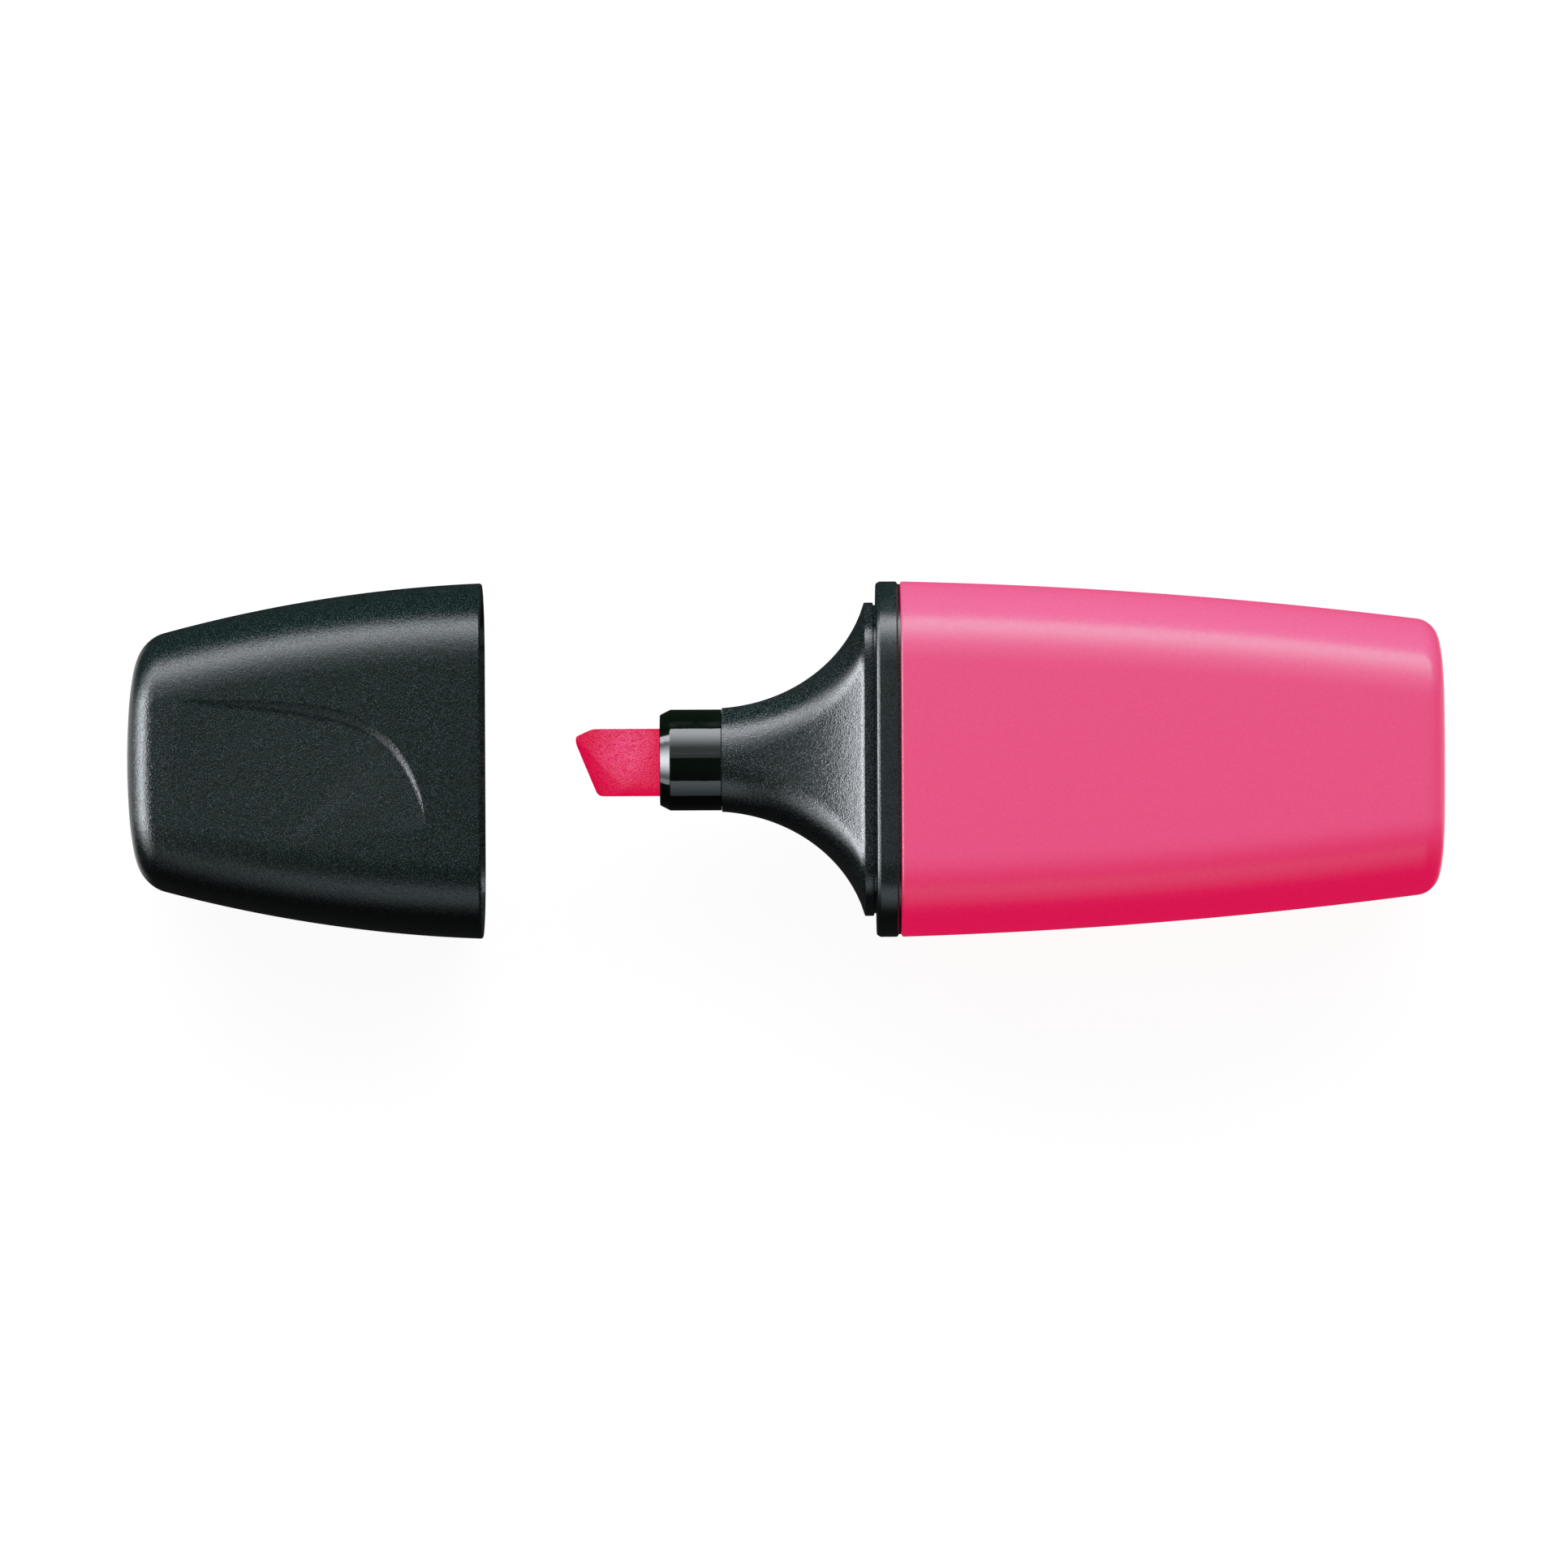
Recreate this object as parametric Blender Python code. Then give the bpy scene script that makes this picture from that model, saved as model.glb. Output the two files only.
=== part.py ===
"""Pocket highlighter with a chisel nib. Its cap is pulled off and lies in line with the body.

The pen rests on one broad face. X runs along the pen, from the closed end of the cap to the tail of
the barrel, Y runs across the broad face, and Z points up from the table.

All sizes below are in millimetres. Each piece is a stack of loops along the pen's axis: the loops
are bridged into a skin, and the skin is closed by end faces or by running back into itself.
"""

import math
from collections import namedtuple

import bmesh
import bpy
from mathutils import Vector
from mathutils.geometry import interpolate_bezier

MM = 0.001

# Section of the pen where the cap meets the body
BODY_WIDTH = 27.0
BODY_THICKNESS = 16.4
EDGE_RADIUS = 5.5
FIT_GAP = 0.3

# Barrel
BARREL_LENGTH = 41.1
BARREL_WALL = 1.4
BARREL_END_WALL = 1.6
BARREL_SIDE_DRAFT = math.radians(1.48)
BARREL_SIDE_RADIUS = 390.0
BARREL_END_RADIUS = 2.0
BARREL_MOUTH_RADIUS = 0.2

# Collar: a flange that the cap butts against, and a skirt that plugs the barrel
COLLAR_LENGTH = 1.45
COLLAR_FRONT_RADIUS = 0.2
COLLAR_REAR_CHAMFER = 0.35
SKIRT_LENGTH = 6.0

# Nose: a plate inside the cap's mouth, a flare up to the nib tube, and a neck in the collar
PLATE_THICKNESS = 0.6
NOSE_LENGTH = 11.7
NOSE_TIP_WALL = 0.22
FLARE_LEAD = 0.6
NECK_WALL = 0.7

# Nib tube: a polished head in front of the nose, and a spigot through it
SPIGOT_WALL = 0.575
TUBE_STEP = 0.4
TUBE_HEAD_LENGTH = 4.4
TUBE_CHAMFER_LENGTH = 0.8
TUBE_CHAMFER_DEPTH = 0.4

# Nib
NIB_WIDTH = 5.15
NIB_THICKNESS = 4.2
NIB_CORNER = 1.8
NIB_EXPOSED = 6.4
NIB_SLANT = math.radians(19.5)
NIB_TIP_THICKNESS = 2.0
NIB_WEDGE_LENGTH = 6.0
NIB_EDGE_ROUNDING = 0.22
NIB_SOCKET_DEPTH = 4.5

# Ink store
WRAP_THICKNESS = 0.3

# Cap
CAP_WALL = 1.3
CAP_END_WALL = 1.5
CAP_SIDE_DRAFT = math.radians(2.06)
CAP_SIDE_RADIUS = 104.0
CAP_FACE_RADIUS = 360.0
CAP_END_RADIUS = 1.8
CAP_END_SWEEP = math.radians(78)
CAP_DOME_RISE = 0.74
CAP_MOUTH_RADIUS = 0.2
CAP_LAID_APART = 7.06

# Sealing cup inside the cap
CUP_WALL = 0.7
CUP_BASE = 1.0
CUP_NOSE_CLEARANCE = 0.5
CUP_NIB_CLEARANCE = 1.55
SOCKET_WALL = 0.6
SOCKET_HEIGHT = 3.0
SOCKET_ROOT = 0.5

# Thumb scoop on each broad face of the cap: (distance from the mouth, height across the face)
SCOOP_START = Vector((23.5, 5.1))
SCOOP_START_HANDLE = Vector((7.8, 3.2))
SCOOP_END_HANDLE = Vector((6.7, 4.0))
SCOOP_END = Vector((4.0, -5.7))
SCOOP_DEPTH = 0.45
SCOOP_WALL_RUN = 0.45
SCOOP_STEPS = 16
SCOOP_FADE = 0.02
CUTTER_RISE = 1.0
CUTTER_OVERRUN = 1.5

# Facets
CORNER_STEPS = 8
ROUND_STEPS = 4
BARREL_STATIONS = 6
CAP_STATIONS = 8
FLARE_STATIONS = 9
DOME_STEPS = 3
DOME_FLAT = 0.25
LEAST_CORNER = 0.2
LEAST_FLAT = 0.05
SMOOTH_ANGLE = math.radians(35)

# Radii that grow outwards from the nib
SPIGOT_RADIUS = NIB_WIDTH / 2 + FIT_GAP + SPIGOT_WALL
TUBE_RADIUS = SPIGOT_RADIUS + TUBE_STEP
NOSE_BORE_RADIUS = SPIGOT_RADIUS + FIT_GAP
NOSE_TIP_RADIUS = NOSE_BORE_RADIUS + NOSE_TIP_WALL
NECK_RADIUS = NOSE_BORE_RADIUS + NECK_WALL
COLLAR_BORE_RADIUS = NECK_RADIUS + FIT_GAP
CUP_BORE_RADIUS = TUBE_RADIUS + FIT_GAP
CUP_RADIUS = CUP_BORE_RADIUS + CUP_WALL
SOCKET_BORE_RADIUS = CUP_RADIUS + FIT_GAP
SOCKET_RADIUS = SOCKET_BORE_RADIUS + SOCKET_WALL

# Places along the pen, measured from the collar's front face, where the closed cap stops
BARREL_MOUTH = COLLAR_LENGTH + FIT_GAP
SKIRT_END = COLLAR_LENGTH + SKIRT_LENGTH
BARREL_TAIL = BARREL_MOUTH + BARREL_LENGTH
CAVITY_END = BARREL_TAIL - BARREL_END_WALL
PLATE_REAR = -FIT_GAP
PLATE_FRONT = PLATE_REAR - PLATE_THICKNESS
NOSE_FRONT = -NOSE_LENGTH
TUBE_SHOULDER = NOSE_FRONT - FIT_GAP
TUBE_FRONT = TUBE_SHOULDER - TUBE_HEAD_LENGTH
NIB_TIP = TUBE_FRONT - NIB_EXPOSED
CORE_FRONT = SKIRT_END + FIT_GAP
CORE_REAR = CAVITY_END - FIT_GAP
NIB_TAIL = CORE_FRONT + NIB_SOCKET_DEPTH - FIT_GAP

# Depths inside the cap, measured from its mouth, which stops one gap short of the collar
CUP_MOUTH_DEPTH = NOSE_LENGTH + CUP_NOSE_CLEARANCE - FIT_GAP
CUP_FLOOR_DEPTH = CUP_NIB_CLEARANCE - NIB_TIP - FIT_GAP
CUP_END_DEPTH = CUP_FLOOR_DEPTH + CUP_BASE
CAP_CAVITY_DEPTH = CUP_END_DEPTH + FIT_GAP
CAP_LENGTH = CAP_CAVITY_DEPTH + CAP_END_WALL
CAP_PULLED_OFF = CAP_LAID_APART - NIB_TIP

# The origin lies under the middle of the pen and its pulled-off cap
SEAT_X = (CAP_PULLED_OFF + CAP_LENGTH - BARREL_TAIL) / 2
AXIS_HEIGHT = BODY_THICKNESS / 2

Section = namedtuple("Section", "half_width half_thickness corner")


# Sections and loops


def rounded(half_width, half_thickness, corner):
    """A rounded rectangle whose corners leave a little flat between them."""
    most = min(half_width, half_thickness) - LEAST_FLAT
    return Section(half_width, half_thickness, min(max(corner, LEAST_CORNER), most))


def inset(section, amount):
    """The same rounded rectangle, drawn in by one amount all round."""
    return rounded(*(size - amount for size in section))


def disc(radius):
    return Section(radius, radius, radius)


def body_section():
    return rounded(BODY_WIDTH / 2, BODY_THICKNESS / 2, EDGE_RADIUS)


def loop(section, x):
    """Points of a rounded rectangle at x: four corner arcs, joined by the flats between them.

    A disc has no flats, so its arcs keep half a step clear of each other."""
    run_y = section.half_width - section.corner
    run_z = section.half_thickness - section.corner
    round_section = max(run_y, run_z) == 0.0
    step = math.pi / 2 / (CORNER_STEPS + round_section)
    lead = step / 2 if round_section else 0.0
    points = []
    for quarter, (sign_y, sign_z) in enumerate(((1, 1), (-1, 1), (-1, -1), (1, -1))):
        for k in range(CORNER_STEPS + 1):
            angle = quarter * math.pi / 2 + lead + k * step
            y = sign_y * run_y + section.corner * math.cos(angle)
            z = sign_z * run_z + section.corner * math.sin(angle)
            points.append(Vector((x, y, z)))
    return points


def spread(first, last, count):
    """count + 1 even places from first to last."""
    return [first + (last - first) * k / count for k in range(count + 1)]


def rounded_end(section_at, end, radius, inward, sweep=math.pi / 2):
    """Loops of an edge rounded over at the place end. inward is the way from the end into the piece,
    +1 or -1 along X, and the loops run from the side out to the end."""
    start = end + inward * radius * math.sin(sweep)
    loops = []
    for angle in spread(0.0, sweep, ROUND_STEPS):
        x = start - inward * radius * math.sin(angle)
        loops.append(loop(inset(section_at(x), radius * (1 - math.cos(angle))), x))
    return loops


def draw_in(distance, draft, radius):
    """How far a side has drawn in at a distance from the seam: a draft that bends into an arc."""
    return distance * math.tan(draft) + distance**2 / (2 * radius)


# Objects


def plastic(name, color, roughness):
    material = bpy.data.materials.new(name)
    material.use_nodes = True
    shader = material.node_tree.nodes["Principled BSDF"]
    shader.inputs["Base Color"].default_value = (*color, 1.0)
    shader.inputs["Roughness"].default_value = roughness
    shader.inputs["Metallic"].default_value = 0.0
    material.diffuse_color = (*color, 1.0)
    return material


def make_axis(name, x):
    """An empty on the pen's axis. The pieces on it are placed along that axis."""
    axis = bpy.data.objects.new(name, None)
    axis.location = Vector((x, 0.0, AXIS_HEIGHT)) * MM
    bpy.context.scene.collection.objects.link(axis)
    return axis


def skin(loops, closed=False):
    """A closed skin through the loops. With closed, the last loop runs back into the first."""
    shape = bmesh.new()
    rows = [[shape.verts.new(point * MM) for point in points] for points in loops]
    pairs = list(zip(rows, rows[1:]))
    if closed:
        pairs.append((rows[-1], rows[0]))
    else:
        shape.faces.new(rows[0])
        shape.faces.new(rows[-1])
    for near, far in pairs:
        for k in range(len(near)):
            shape.faces.new((near[k - 1], near[k], far[k], far[k - 1]))
    bmesh.ops.recalc_face_normals(shape, faces=shape.faces[:])
    return shape


def add_piece(name, shape, axis, material):
    mesh = bpy.data.meshes.new(name)
    shape.to_mesh(mesh)
    shape.free()
    mesh.materials.append(material)
    mesh.shade_smooth()
    mesh.set_sharp_from_angle(angle=SMOOTH_ANGLE)
    piece = bpy.data.objects.new(name, mesh)
    piece.parent = axis
    bpy.context.scene.collection.objects.link(piece)
    return piece


def add_cutter(name, shape, axis, material):
    """A shape that only joins or cuts another piece."""
    cutter = add_piece(name, shape, axis, material)
    cutter.hide_render = True
    cutter.display_type = "WIRE"
    return cutter


def combine(piece, cutter, operation):
    modifier = piece.modifiers.new(cutter.name, "BOOLEAN")
    modifier.operation = operation
    modifier.solver = "EXACT"
    modifier.object = cutter


# Barrel


def barrel_section(x):
    """Outside of the barrel at x. The broad faces stay flat, and the narrow sides draw in."""
    drawn = draw_in(x - BARREL_MOUTH, BARREL_SIDE_DRAFT, BARREL_SIDE_RADIUS)
    body = body_section()
    return rounded(body.half_width - drawn, body.half_thickness, body.corner)


def barrel_bore(x):
    return inset(barrel_section(x), BARREL_WALL)


def add_barrel(axis, material):
    tail_round = rounded_end(barrel_section, BARREL_TAIL, BARREL_END_RADIUS, -1)
    mouth_round = rounded_end(barrel_section, BARREL_MOUTH, BARREL_MOUTH_RADIUS, +1)
    side_start = BARREL_MOUTH + BARREL_MOUTH_RADIUS
    side_end = BARREL_TAIL - BARREL_END_RADIUS
    bore = spread(CAVITY_END, BARREL_MOUTH, BARREL_STATIONS)
    side = spread(side_start, side_end, BARREL_STATIONS)[1:-1]
    loops = [loop(barrel_bore(x), x) for x in bore]
    loops += mouth_round[::-1]
    loops += [loop(barrel_section(x), x) for x in side]
    loops += tail_round
    return add_piece("barrel_shell", skin(loops), axis, material)


# Collar


def skirt_section(x):
    return inset(barrel_bore(x), FIT_GAP)


def add_collar(axis, material):
    flange = body_section()
    chamfer_start = COLLAR_LENGTH - COLLAR_REAR_CHAMFER
    loops = rounded_end(lambda x: flange, 0.0, COLLAR_FRONT_RADIUS, +1)[::-1]
    loops.append(loop(flange, chamfer_start))
    loops.append(loop(inset(flange, COLLAR_REAR_CHAMFER), COLLAR_LENGTH))
    loops.append(loop(skirt_section(BARREL_MOUTH), COLLAR_LENGTH))
    loops.append(loop(skirt_section(SKIRT_END), SKIRT_END))
    loops.append(loop(disc(COLLAR_BORE_RADIUS), SKIRT_END))
    loops.append(loop(disc(COLLAR_BORE_RADIUS), 0.0))
    return add_piece("collar", skin(loops, closed=True), axis, material)


# Nose


def plate_section():
    """The plate slides into the cap's mouth."""
    return inset(body_section(), CAP_WALL + FIT_GAP)


def flare_height(x, rise):
    """Height of the flare over its round tip at x: an arc that gains rise by the plate."""
    length = PLATE_FRONT - NOSE_FRONT + FLARE_LEAD
    radius = (length**2 + rise**2) / (2 * rise)
    distance = x - NOSE_FRONT + FLARE_LEAD
    return radius - math.sqrt(radius**2 - distance**2)


def flare_section(x):
    plate = plate_section()
    wide = NOSE_TIP_RADIUS + flare_height(x, plate.half_width - NOSE_TIP_RADIUS)
    thick = NOSE_TIP_RADIUS + flare_height(x, plate.half_thickness - NOSE_TIP_RADIUS)
    share = (x - NOSE_FRONT) / (PLATE_FRONT - NOSE_FRONT)
    corner = NOSE_TIP_RADIUS + share * (plate.corner - NOSE_TIP_RADIUS)
    return rounded(wide, thick, corner)


def add_nose(axis, material):
    plate = plate_section()
    neck = disc(NECK_RADIUS)
    bore = disc(NOSE_BORE_RADIUS)
    flare = spread(NOSE_FRONT, PLATE_FRONT, FLARE_STATIONS)[1:-1]
    loops = [loop(bore, NOSE_FRONT), loop(disc(NOSE_TIP_RADIUS), NOSE_FRONT)]
    loops += [loop(flare_section(x), x) for x in flare]
    loops += [loop(plate, PLATE_FRONT), loop(plate, PLATE_REAR)]
    loops += [loop(neck, PLATE_REAR), loop(neck, SKIRT_END), loop(bore, SKIRT_END)]
    return add_piece("nose", skin(loops, closed=True), axis, material)


# Nib tube and nib


def nib_section():
    return rounded(NIB_WIDTH / 2, NIB_THICKNESS / 2, NIB_CORNER)


def nib_passage():
    return inset(nib_section(), -FIT_GAP)


def add_nib_tube(axis, material):
    head = disc(TUBE_RADIUS)
    spigot = disc(SPIGOT_RADIUS)
    loops = [
        loop(nib_passage(), TUBE_FRONT),
        loop(disc(TUBE_RADIUS - TUBE_CHAMFER_DEPTH), TUBE_FRONT),
        loop(head, TUBE_FRONT + TUBE_CHAMFER_LENGTH),
        loop(head, TUBE_SHOULDER),
        loop(spigot, TUBE_SHOULDER),
        loop(spigot, SKIRT_END),
        loop(nib_passage(), SKIRT_END),
    ]
    return add_piece("nib_tube", skin(loops, closed=True), axis, material)


def slice_off(shape, point, normal):
    """Cuts away what lies beyond a plane, and closes the cut."""
    geometry = shape.verts[:] + shape.edges[:] + shape.faces[:]
    cut = bmesh.ops.bisect_plane(
        shape, geom=geometry, plane_co=point * MM, plane_no=normal, clear_outer=True
    )
    rim = [part for part in cut["geom_cut"] if isinstance(part, bmesh.types.BMEdge)]
    bmesh.ops.contextual_create(shape, geom=rim)


def add_nib(axis, material):
    """An oval felt rod. Two wedge cuts thin it to the tip, and a slant cut makes the chisel edge."""
    section = nib_section()
    shape = skin([loop(section, NIB_TIP), loop(section, NIB_TAIL)])
    wedge = math.atan((NIB_THICKNESS - NIB_TIP_THICKNESS) / 2 / NIB_WEDGE_LENGTH)
    for side in (1, -1):
        edge = Vector((NIB_TIP, 0.0, side * NIB_TIP_THICKNESS / 2))
        slice_off(shape, edge, Vector((-math.sin(wedge), 0.0, side * math.cos(wedge))))
    corner = Vector((NIB_TIP, section.half_width, 0.0))
    slice_off(shape, corner, Vector((-math.cos(NIB_SLANT), -math.sin(NIB_SLANT), 0.0)))
    nib = add_piece("chisel_nib", shape, axis, material)
    rounding = nib.modifiers.new("edge_rounding", "BEVEL")
    rounding.width = NIB_EDGE_ROUNDING * MM
    rounding.segments = 2
    rounding.limit_method = "ANGLE"
    rounding.angle_limit = SMOOTH_ANGLE
    return nib


# Ink store


def wrap_section():
    """The wrapped core slides down to the narrow end of the barrel's bore."""
    return inset(barrel_bore(CAVITY_END), FIT_GAP)


def core_section():
    return inset(wrap_section(), WRAP_THICKNESS + FIT_GAP)


def add_ink_core(axis, material):
    socket = nib_passage()
    loops = [
        loop(socket, CORE_FRONT + NIB_SOCKET_DEPTH),
        loop(socket, CORE_FRONT),
        loop(core_section(), CORE_FRONT),
        loop(core_section(), CORE_REAR),
    ]
    return add_piece("ink_core", skin(loops), axis, material)


def add_core_wrap(axis, material):
    outside = wrap_section()
    inside = inset(outside, WRAP_THICKNESS)
    loops = [
        loop(outside, CORE_FRONT),
        loop(outside, CORE_REAR),
        loop(inside, CORE_REAR),
        loop(inside, CORE_FRONT),
    ]
    return add_piece("core_wrap", skin(loops, closed=True), axis, material)


# Cap: its mouth is at x = 0 on its own axis, and its closed end at -CAP_LENGTH


def cap_section(x):
    body = body_section()
    side = draw_in(-x, CAP_SIDE_DRAFT, CAP_SIDE_RADIUS)
    face = draw_in(-x, 0.0, CAP_FACE_RADIUS)
    return rounded(body.half_width - side, body.half_thickness - face, body.corner)


def cap_bore(x):
    return inset(cap_section(x), CAP_WALL)


def dome_loops(rim_section):
    """Loops that close the cap's end in a shallow dome, from the rounded rim to a small flat."""
    loops = []
    for scale in spread(1.0, DOME_FLAT, DOME_STEPS)[1:]:
        section = rounded(*(size * scale for size in rim_section))
        drop = (scale**2 - DOME_FLAT**2) / (1 - DOME_FLAT**2)
        loops.append(loop(section, -CAP_LENGTH + CAP_DOME_RISE * drop))
    return loops


def add_cap_shell(axis, material):
    rim_end = -CAP_LENGTH + CAP_DOME_RISE
    rim = rounded_end(cap_section, rim_end, CAP_END_RADIUS, +1, CAP_END_SWEEP)
    rim_start = rim_end + CAP_END_RADIUS * math.sin(CAP_END_SWEEP)
    rim_inset = CAP_END_RADIUS * (1 - math.cos(CAP_END_SWEEP))
    mouth = rounded_end(cap_section, 0.0, CAP_MOUTH_RADIUS, -1)
    bore = spread(-CAP_CAVITY_DEPTH, 0.0, CAP_STATIONS)
    side = spread(-CAP_MOUTH_RADIUS, rim_start, CAP_STATIONS)[1:-1]
    loops = [loop(cap_bore(x), x) for x in bore]
    loops += mouth[::-1]
    loops += [loop(cap_section(x), x) for x in side]
    loops += rim
    loops += dome_loops(inset(cap_section(rim_end), rim_inset))
    cap = add_piece("cap_shell", skin(loops), axis, material)
    combine(cap, add_cup_socket(axis, material), "UNION")
    for name, turn in (("scoop_top", 0.0), ("scoop_bottom", math.pi)):
        scoop = add_cutter(name, scoop_shape(), axis, material)
        scoop.rotation_euler.x = turn
        combine(cap, scoop, "DIFFERENCE")
    return cap


def scoop_shape():
    """A wedge under a crescent. Its floor is deepest at the crescent, and rises out of the face
    along the chord between the crescent's ends."""
    ends = (SCOOP_START, SCOOP_START_HANDLE, SCOOP_END_HANDLE, SCOOP_END)
    crescent = interpolate_bezier(*ends, SCOOP_STEPS + 1)
    chord = (SCOOP_END - SCOOP_START).normalized()
    outward = Vector((chord.y, -chord.x))
    reach = [(point - SCOOP_START).dot(outward) for point in crescent]
    if sum(reach) < 0:
        outward = -outward
        reach = [-distance for distance in reach]
    slope = SCOOP_DEPTH / max(reach)
    flank = SCOOP_WALL_RUN / SCOOP_DEPTH
    rows = [[], [], [], []]
    for point, distance in zip(crescent, reach):
        depth = slope * distance - SCOOP_FADE
        foot = point - outward * flank * depth
        brow = point + outward * flank * CUTTER_RISE
        back = point - outward * (distance + CUTTER_OVERRUN)
        lift = slope * CUTTER_OVERRUN + SCOOP_FADE
        corners = ((foot, -depth), (brow, CUTTER_RISE), (back, CUTTER_RISE), (back, lift))
        for row, (place, height) in zip(rows, corners):
            face = cap_section(-place.x).half_thickness
            row.append(Vector((-place.x, place.y, face + height)))
    return skin([list(corners) for corners in zip(*rows)])


# Sealing cup in the cap


def add_cup_socket(axis, material):
    """A ring on the inside of the cap's end, which holds the foot of the sealing cup."""
    inside = disc(SOCKET_BORE_RADIUS)
    outside = disc(SOCKET_RADIUS)
    root = -CAP_CAVITY_DEPTH - SOCKET_ROOT
    top = -CAP_CAVITY_DEPTH + SOCKET_HEIGHT
    loops = [loop(outside, root), loop(outside, top), loop(inside, top), loop(inside, root)]
    return add_cutter("cup_socket", skin(loops, closed=True), axis, material)


def add_sealing_cup(axis, material):
    bore = disc(CUP_BORE_RADIUS)
    outside = disc(CUP_RADIUS)
    loops = [
        loop(bore, -CUP_FLOOR_DEPTH),
        loop(bore, -CUP_MOUTH_DEPTH),
        loop(outside, -CUP_MOUTH_DEPTH),
        loop(outside, -CUP_END_DEPTH),
    ]
    return add_piece("sealing_cup", skin(loops), axis, material)


def main():
    for old in list(bpy.data.objects):
        bpy.data.objects.remove(old)

    pink = plastic("neon_pink_plastic", (0.75, 0.03, 0.12), 0.42)
    black = plastic("textured_black_plastic", (0.022, 0.028, 0.028), 0.5)
    polished = plastic("polished_black_plastic", (0.012, 0.015, 0.014), 0.08)
    felt = plastic("ink_soaked_felt", (0.72, 0.03, 0.12), 0.8)
    fibre = plastic("ink_soaked_fibre", (0.68, 0.08, 0.2), 0.95)
    film = plastic("clear_film", (0.8, 0.75, 0.76), 0.2)
    seal = plastic("soft_black_seal", (0.03, 0.032, 0.034), 0.6)

    pen_axis = make_axis("pen_axis", SEAT_X)
    add_barrel(pen_axis, pink)
    add_collar(pen_axis, black)
    add_nose(pen_axis, black)
    add_nib_tube(pen_axis, polished)
    add_nib(pen_axis, felt)
    add_ink_core(pen_axis, fibre)
    add_core_wrap(pen_axis, film)

    cap_axis = make_axis("cap_axis", SEAT_X - CAP_PULLED_OFF)
    add_cap_shell(cap_axis, black)
    add_sealing_cup(cap_axis, seal)


main()
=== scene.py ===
# %% [markdown]
# # A pocket highlighter with its cap pulled off
#
# This lesson dresses a plain CAD model of a flat pocket highlighter. The CAD frame fixes where every
# piece sits and how it moves. Here each piece is modelled again with its fine edges, and gets a
# finish built from nodes: satin neon plastic, grained and polished black plastic, and wet felt.

# %% Load the frame
import math

import bmesh
import bpy
import numpy as np
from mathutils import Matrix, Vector, noise
from mathutils.geometry import interpolate_bezier


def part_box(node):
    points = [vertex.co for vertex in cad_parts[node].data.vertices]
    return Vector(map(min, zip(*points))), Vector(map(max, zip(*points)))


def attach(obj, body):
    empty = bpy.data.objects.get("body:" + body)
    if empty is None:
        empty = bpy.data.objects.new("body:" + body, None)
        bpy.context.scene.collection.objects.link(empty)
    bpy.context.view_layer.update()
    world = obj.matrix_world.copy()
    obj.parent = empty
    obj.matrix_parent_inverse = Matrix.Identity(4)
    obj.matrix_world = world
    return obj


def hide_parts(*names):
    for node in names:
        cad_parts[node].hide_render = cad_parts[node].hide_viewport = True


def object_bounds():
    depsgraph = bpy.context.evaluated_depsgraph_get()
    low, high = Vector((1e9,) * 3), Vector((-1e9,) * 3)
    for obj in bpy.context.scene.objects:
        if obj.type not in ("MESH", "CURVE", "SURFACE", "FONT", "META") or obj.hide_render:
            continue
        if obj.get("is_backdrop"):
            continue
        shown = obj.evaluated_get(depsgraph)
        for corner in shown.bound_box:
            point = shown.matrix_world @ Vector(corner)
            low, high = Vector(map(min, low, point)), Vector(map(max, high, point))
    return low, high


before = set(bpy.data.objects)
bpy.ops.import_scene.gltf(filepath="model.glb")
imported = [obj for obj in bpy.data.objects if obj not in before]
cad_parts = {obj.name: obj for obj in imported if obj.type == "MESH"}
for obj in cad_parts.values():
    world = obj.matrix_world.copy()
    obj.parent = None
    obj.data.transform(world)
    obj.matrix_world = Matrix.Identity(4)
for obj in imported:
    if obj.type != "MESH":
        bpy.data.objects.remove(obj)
cad_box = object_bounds()

# %% [markdown]
# ## Measuring the frame
#
# A dressed piece has to sit exactly where its CAD solid sits, so the places along the pen are read
# from the boxes of the nodes. Only what a box can't tell, such as a wall or a fillet, is written
# down as a size of its own.

# %% Places along the pen
MM = 0.001
FIT_GAP = 0.3 * MM
HAIR_GAP = 0.02 * MM


def node_span(node):
    """First and last x, half width and half thickness of a CAD node."""
    low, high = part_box(node)
    return low.x, high.x, (high.y - low.y) / 2, (high.z - low.z) / 2


BARREL_MOUTH, BARREL_TAIL, BODY_HALF_WIDTH, BODY_HALF_THICKNESS = node_span("barrel_shell")
SEAT, SKIRT_END, _, _ = node_span("collar")
NOSE_FRONT, NECK_END, PLATE_HALF_WIDTH, _ = node_span("nose")
TUBE_FRONT, SPIGOT_END, TUBE_RADIUS, _ = node_span("nib_tube")
NIB_TIP, NIB_TAIL, NIB_HALF_WIDTH, NIB_HALF_THICKNESS = node_span("chisel_nib")
CAP_END, CAP_MOUTH, _, _ = node_span("cap_shell")
CUP_END, CUP_MOUTH, CUP_RADIUS, _ = node_span("sealing_cup")
AXIS_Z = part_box("barrel_shell")[0].z + BODY_HALF_THICKNESS
print(f"body {2 * BODY_HALF_WIDTH / MM:.1f} mm wide and {2 * BODY_HALF_THICKNESS / MM:.1f} mm thick")
print(f"axis {AXIS_Z / MM:.1f} mm above the table")

# %% [markdown]
# ## Camera
#
# The photo looks straight down on the broad face with a long lens, so it is almost free of
# perspective. The camera therefore hangs far above the pen. A slight roll and a small step aside put
# the pen where the photo has it, a little above the middle of the square frame.

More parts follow.
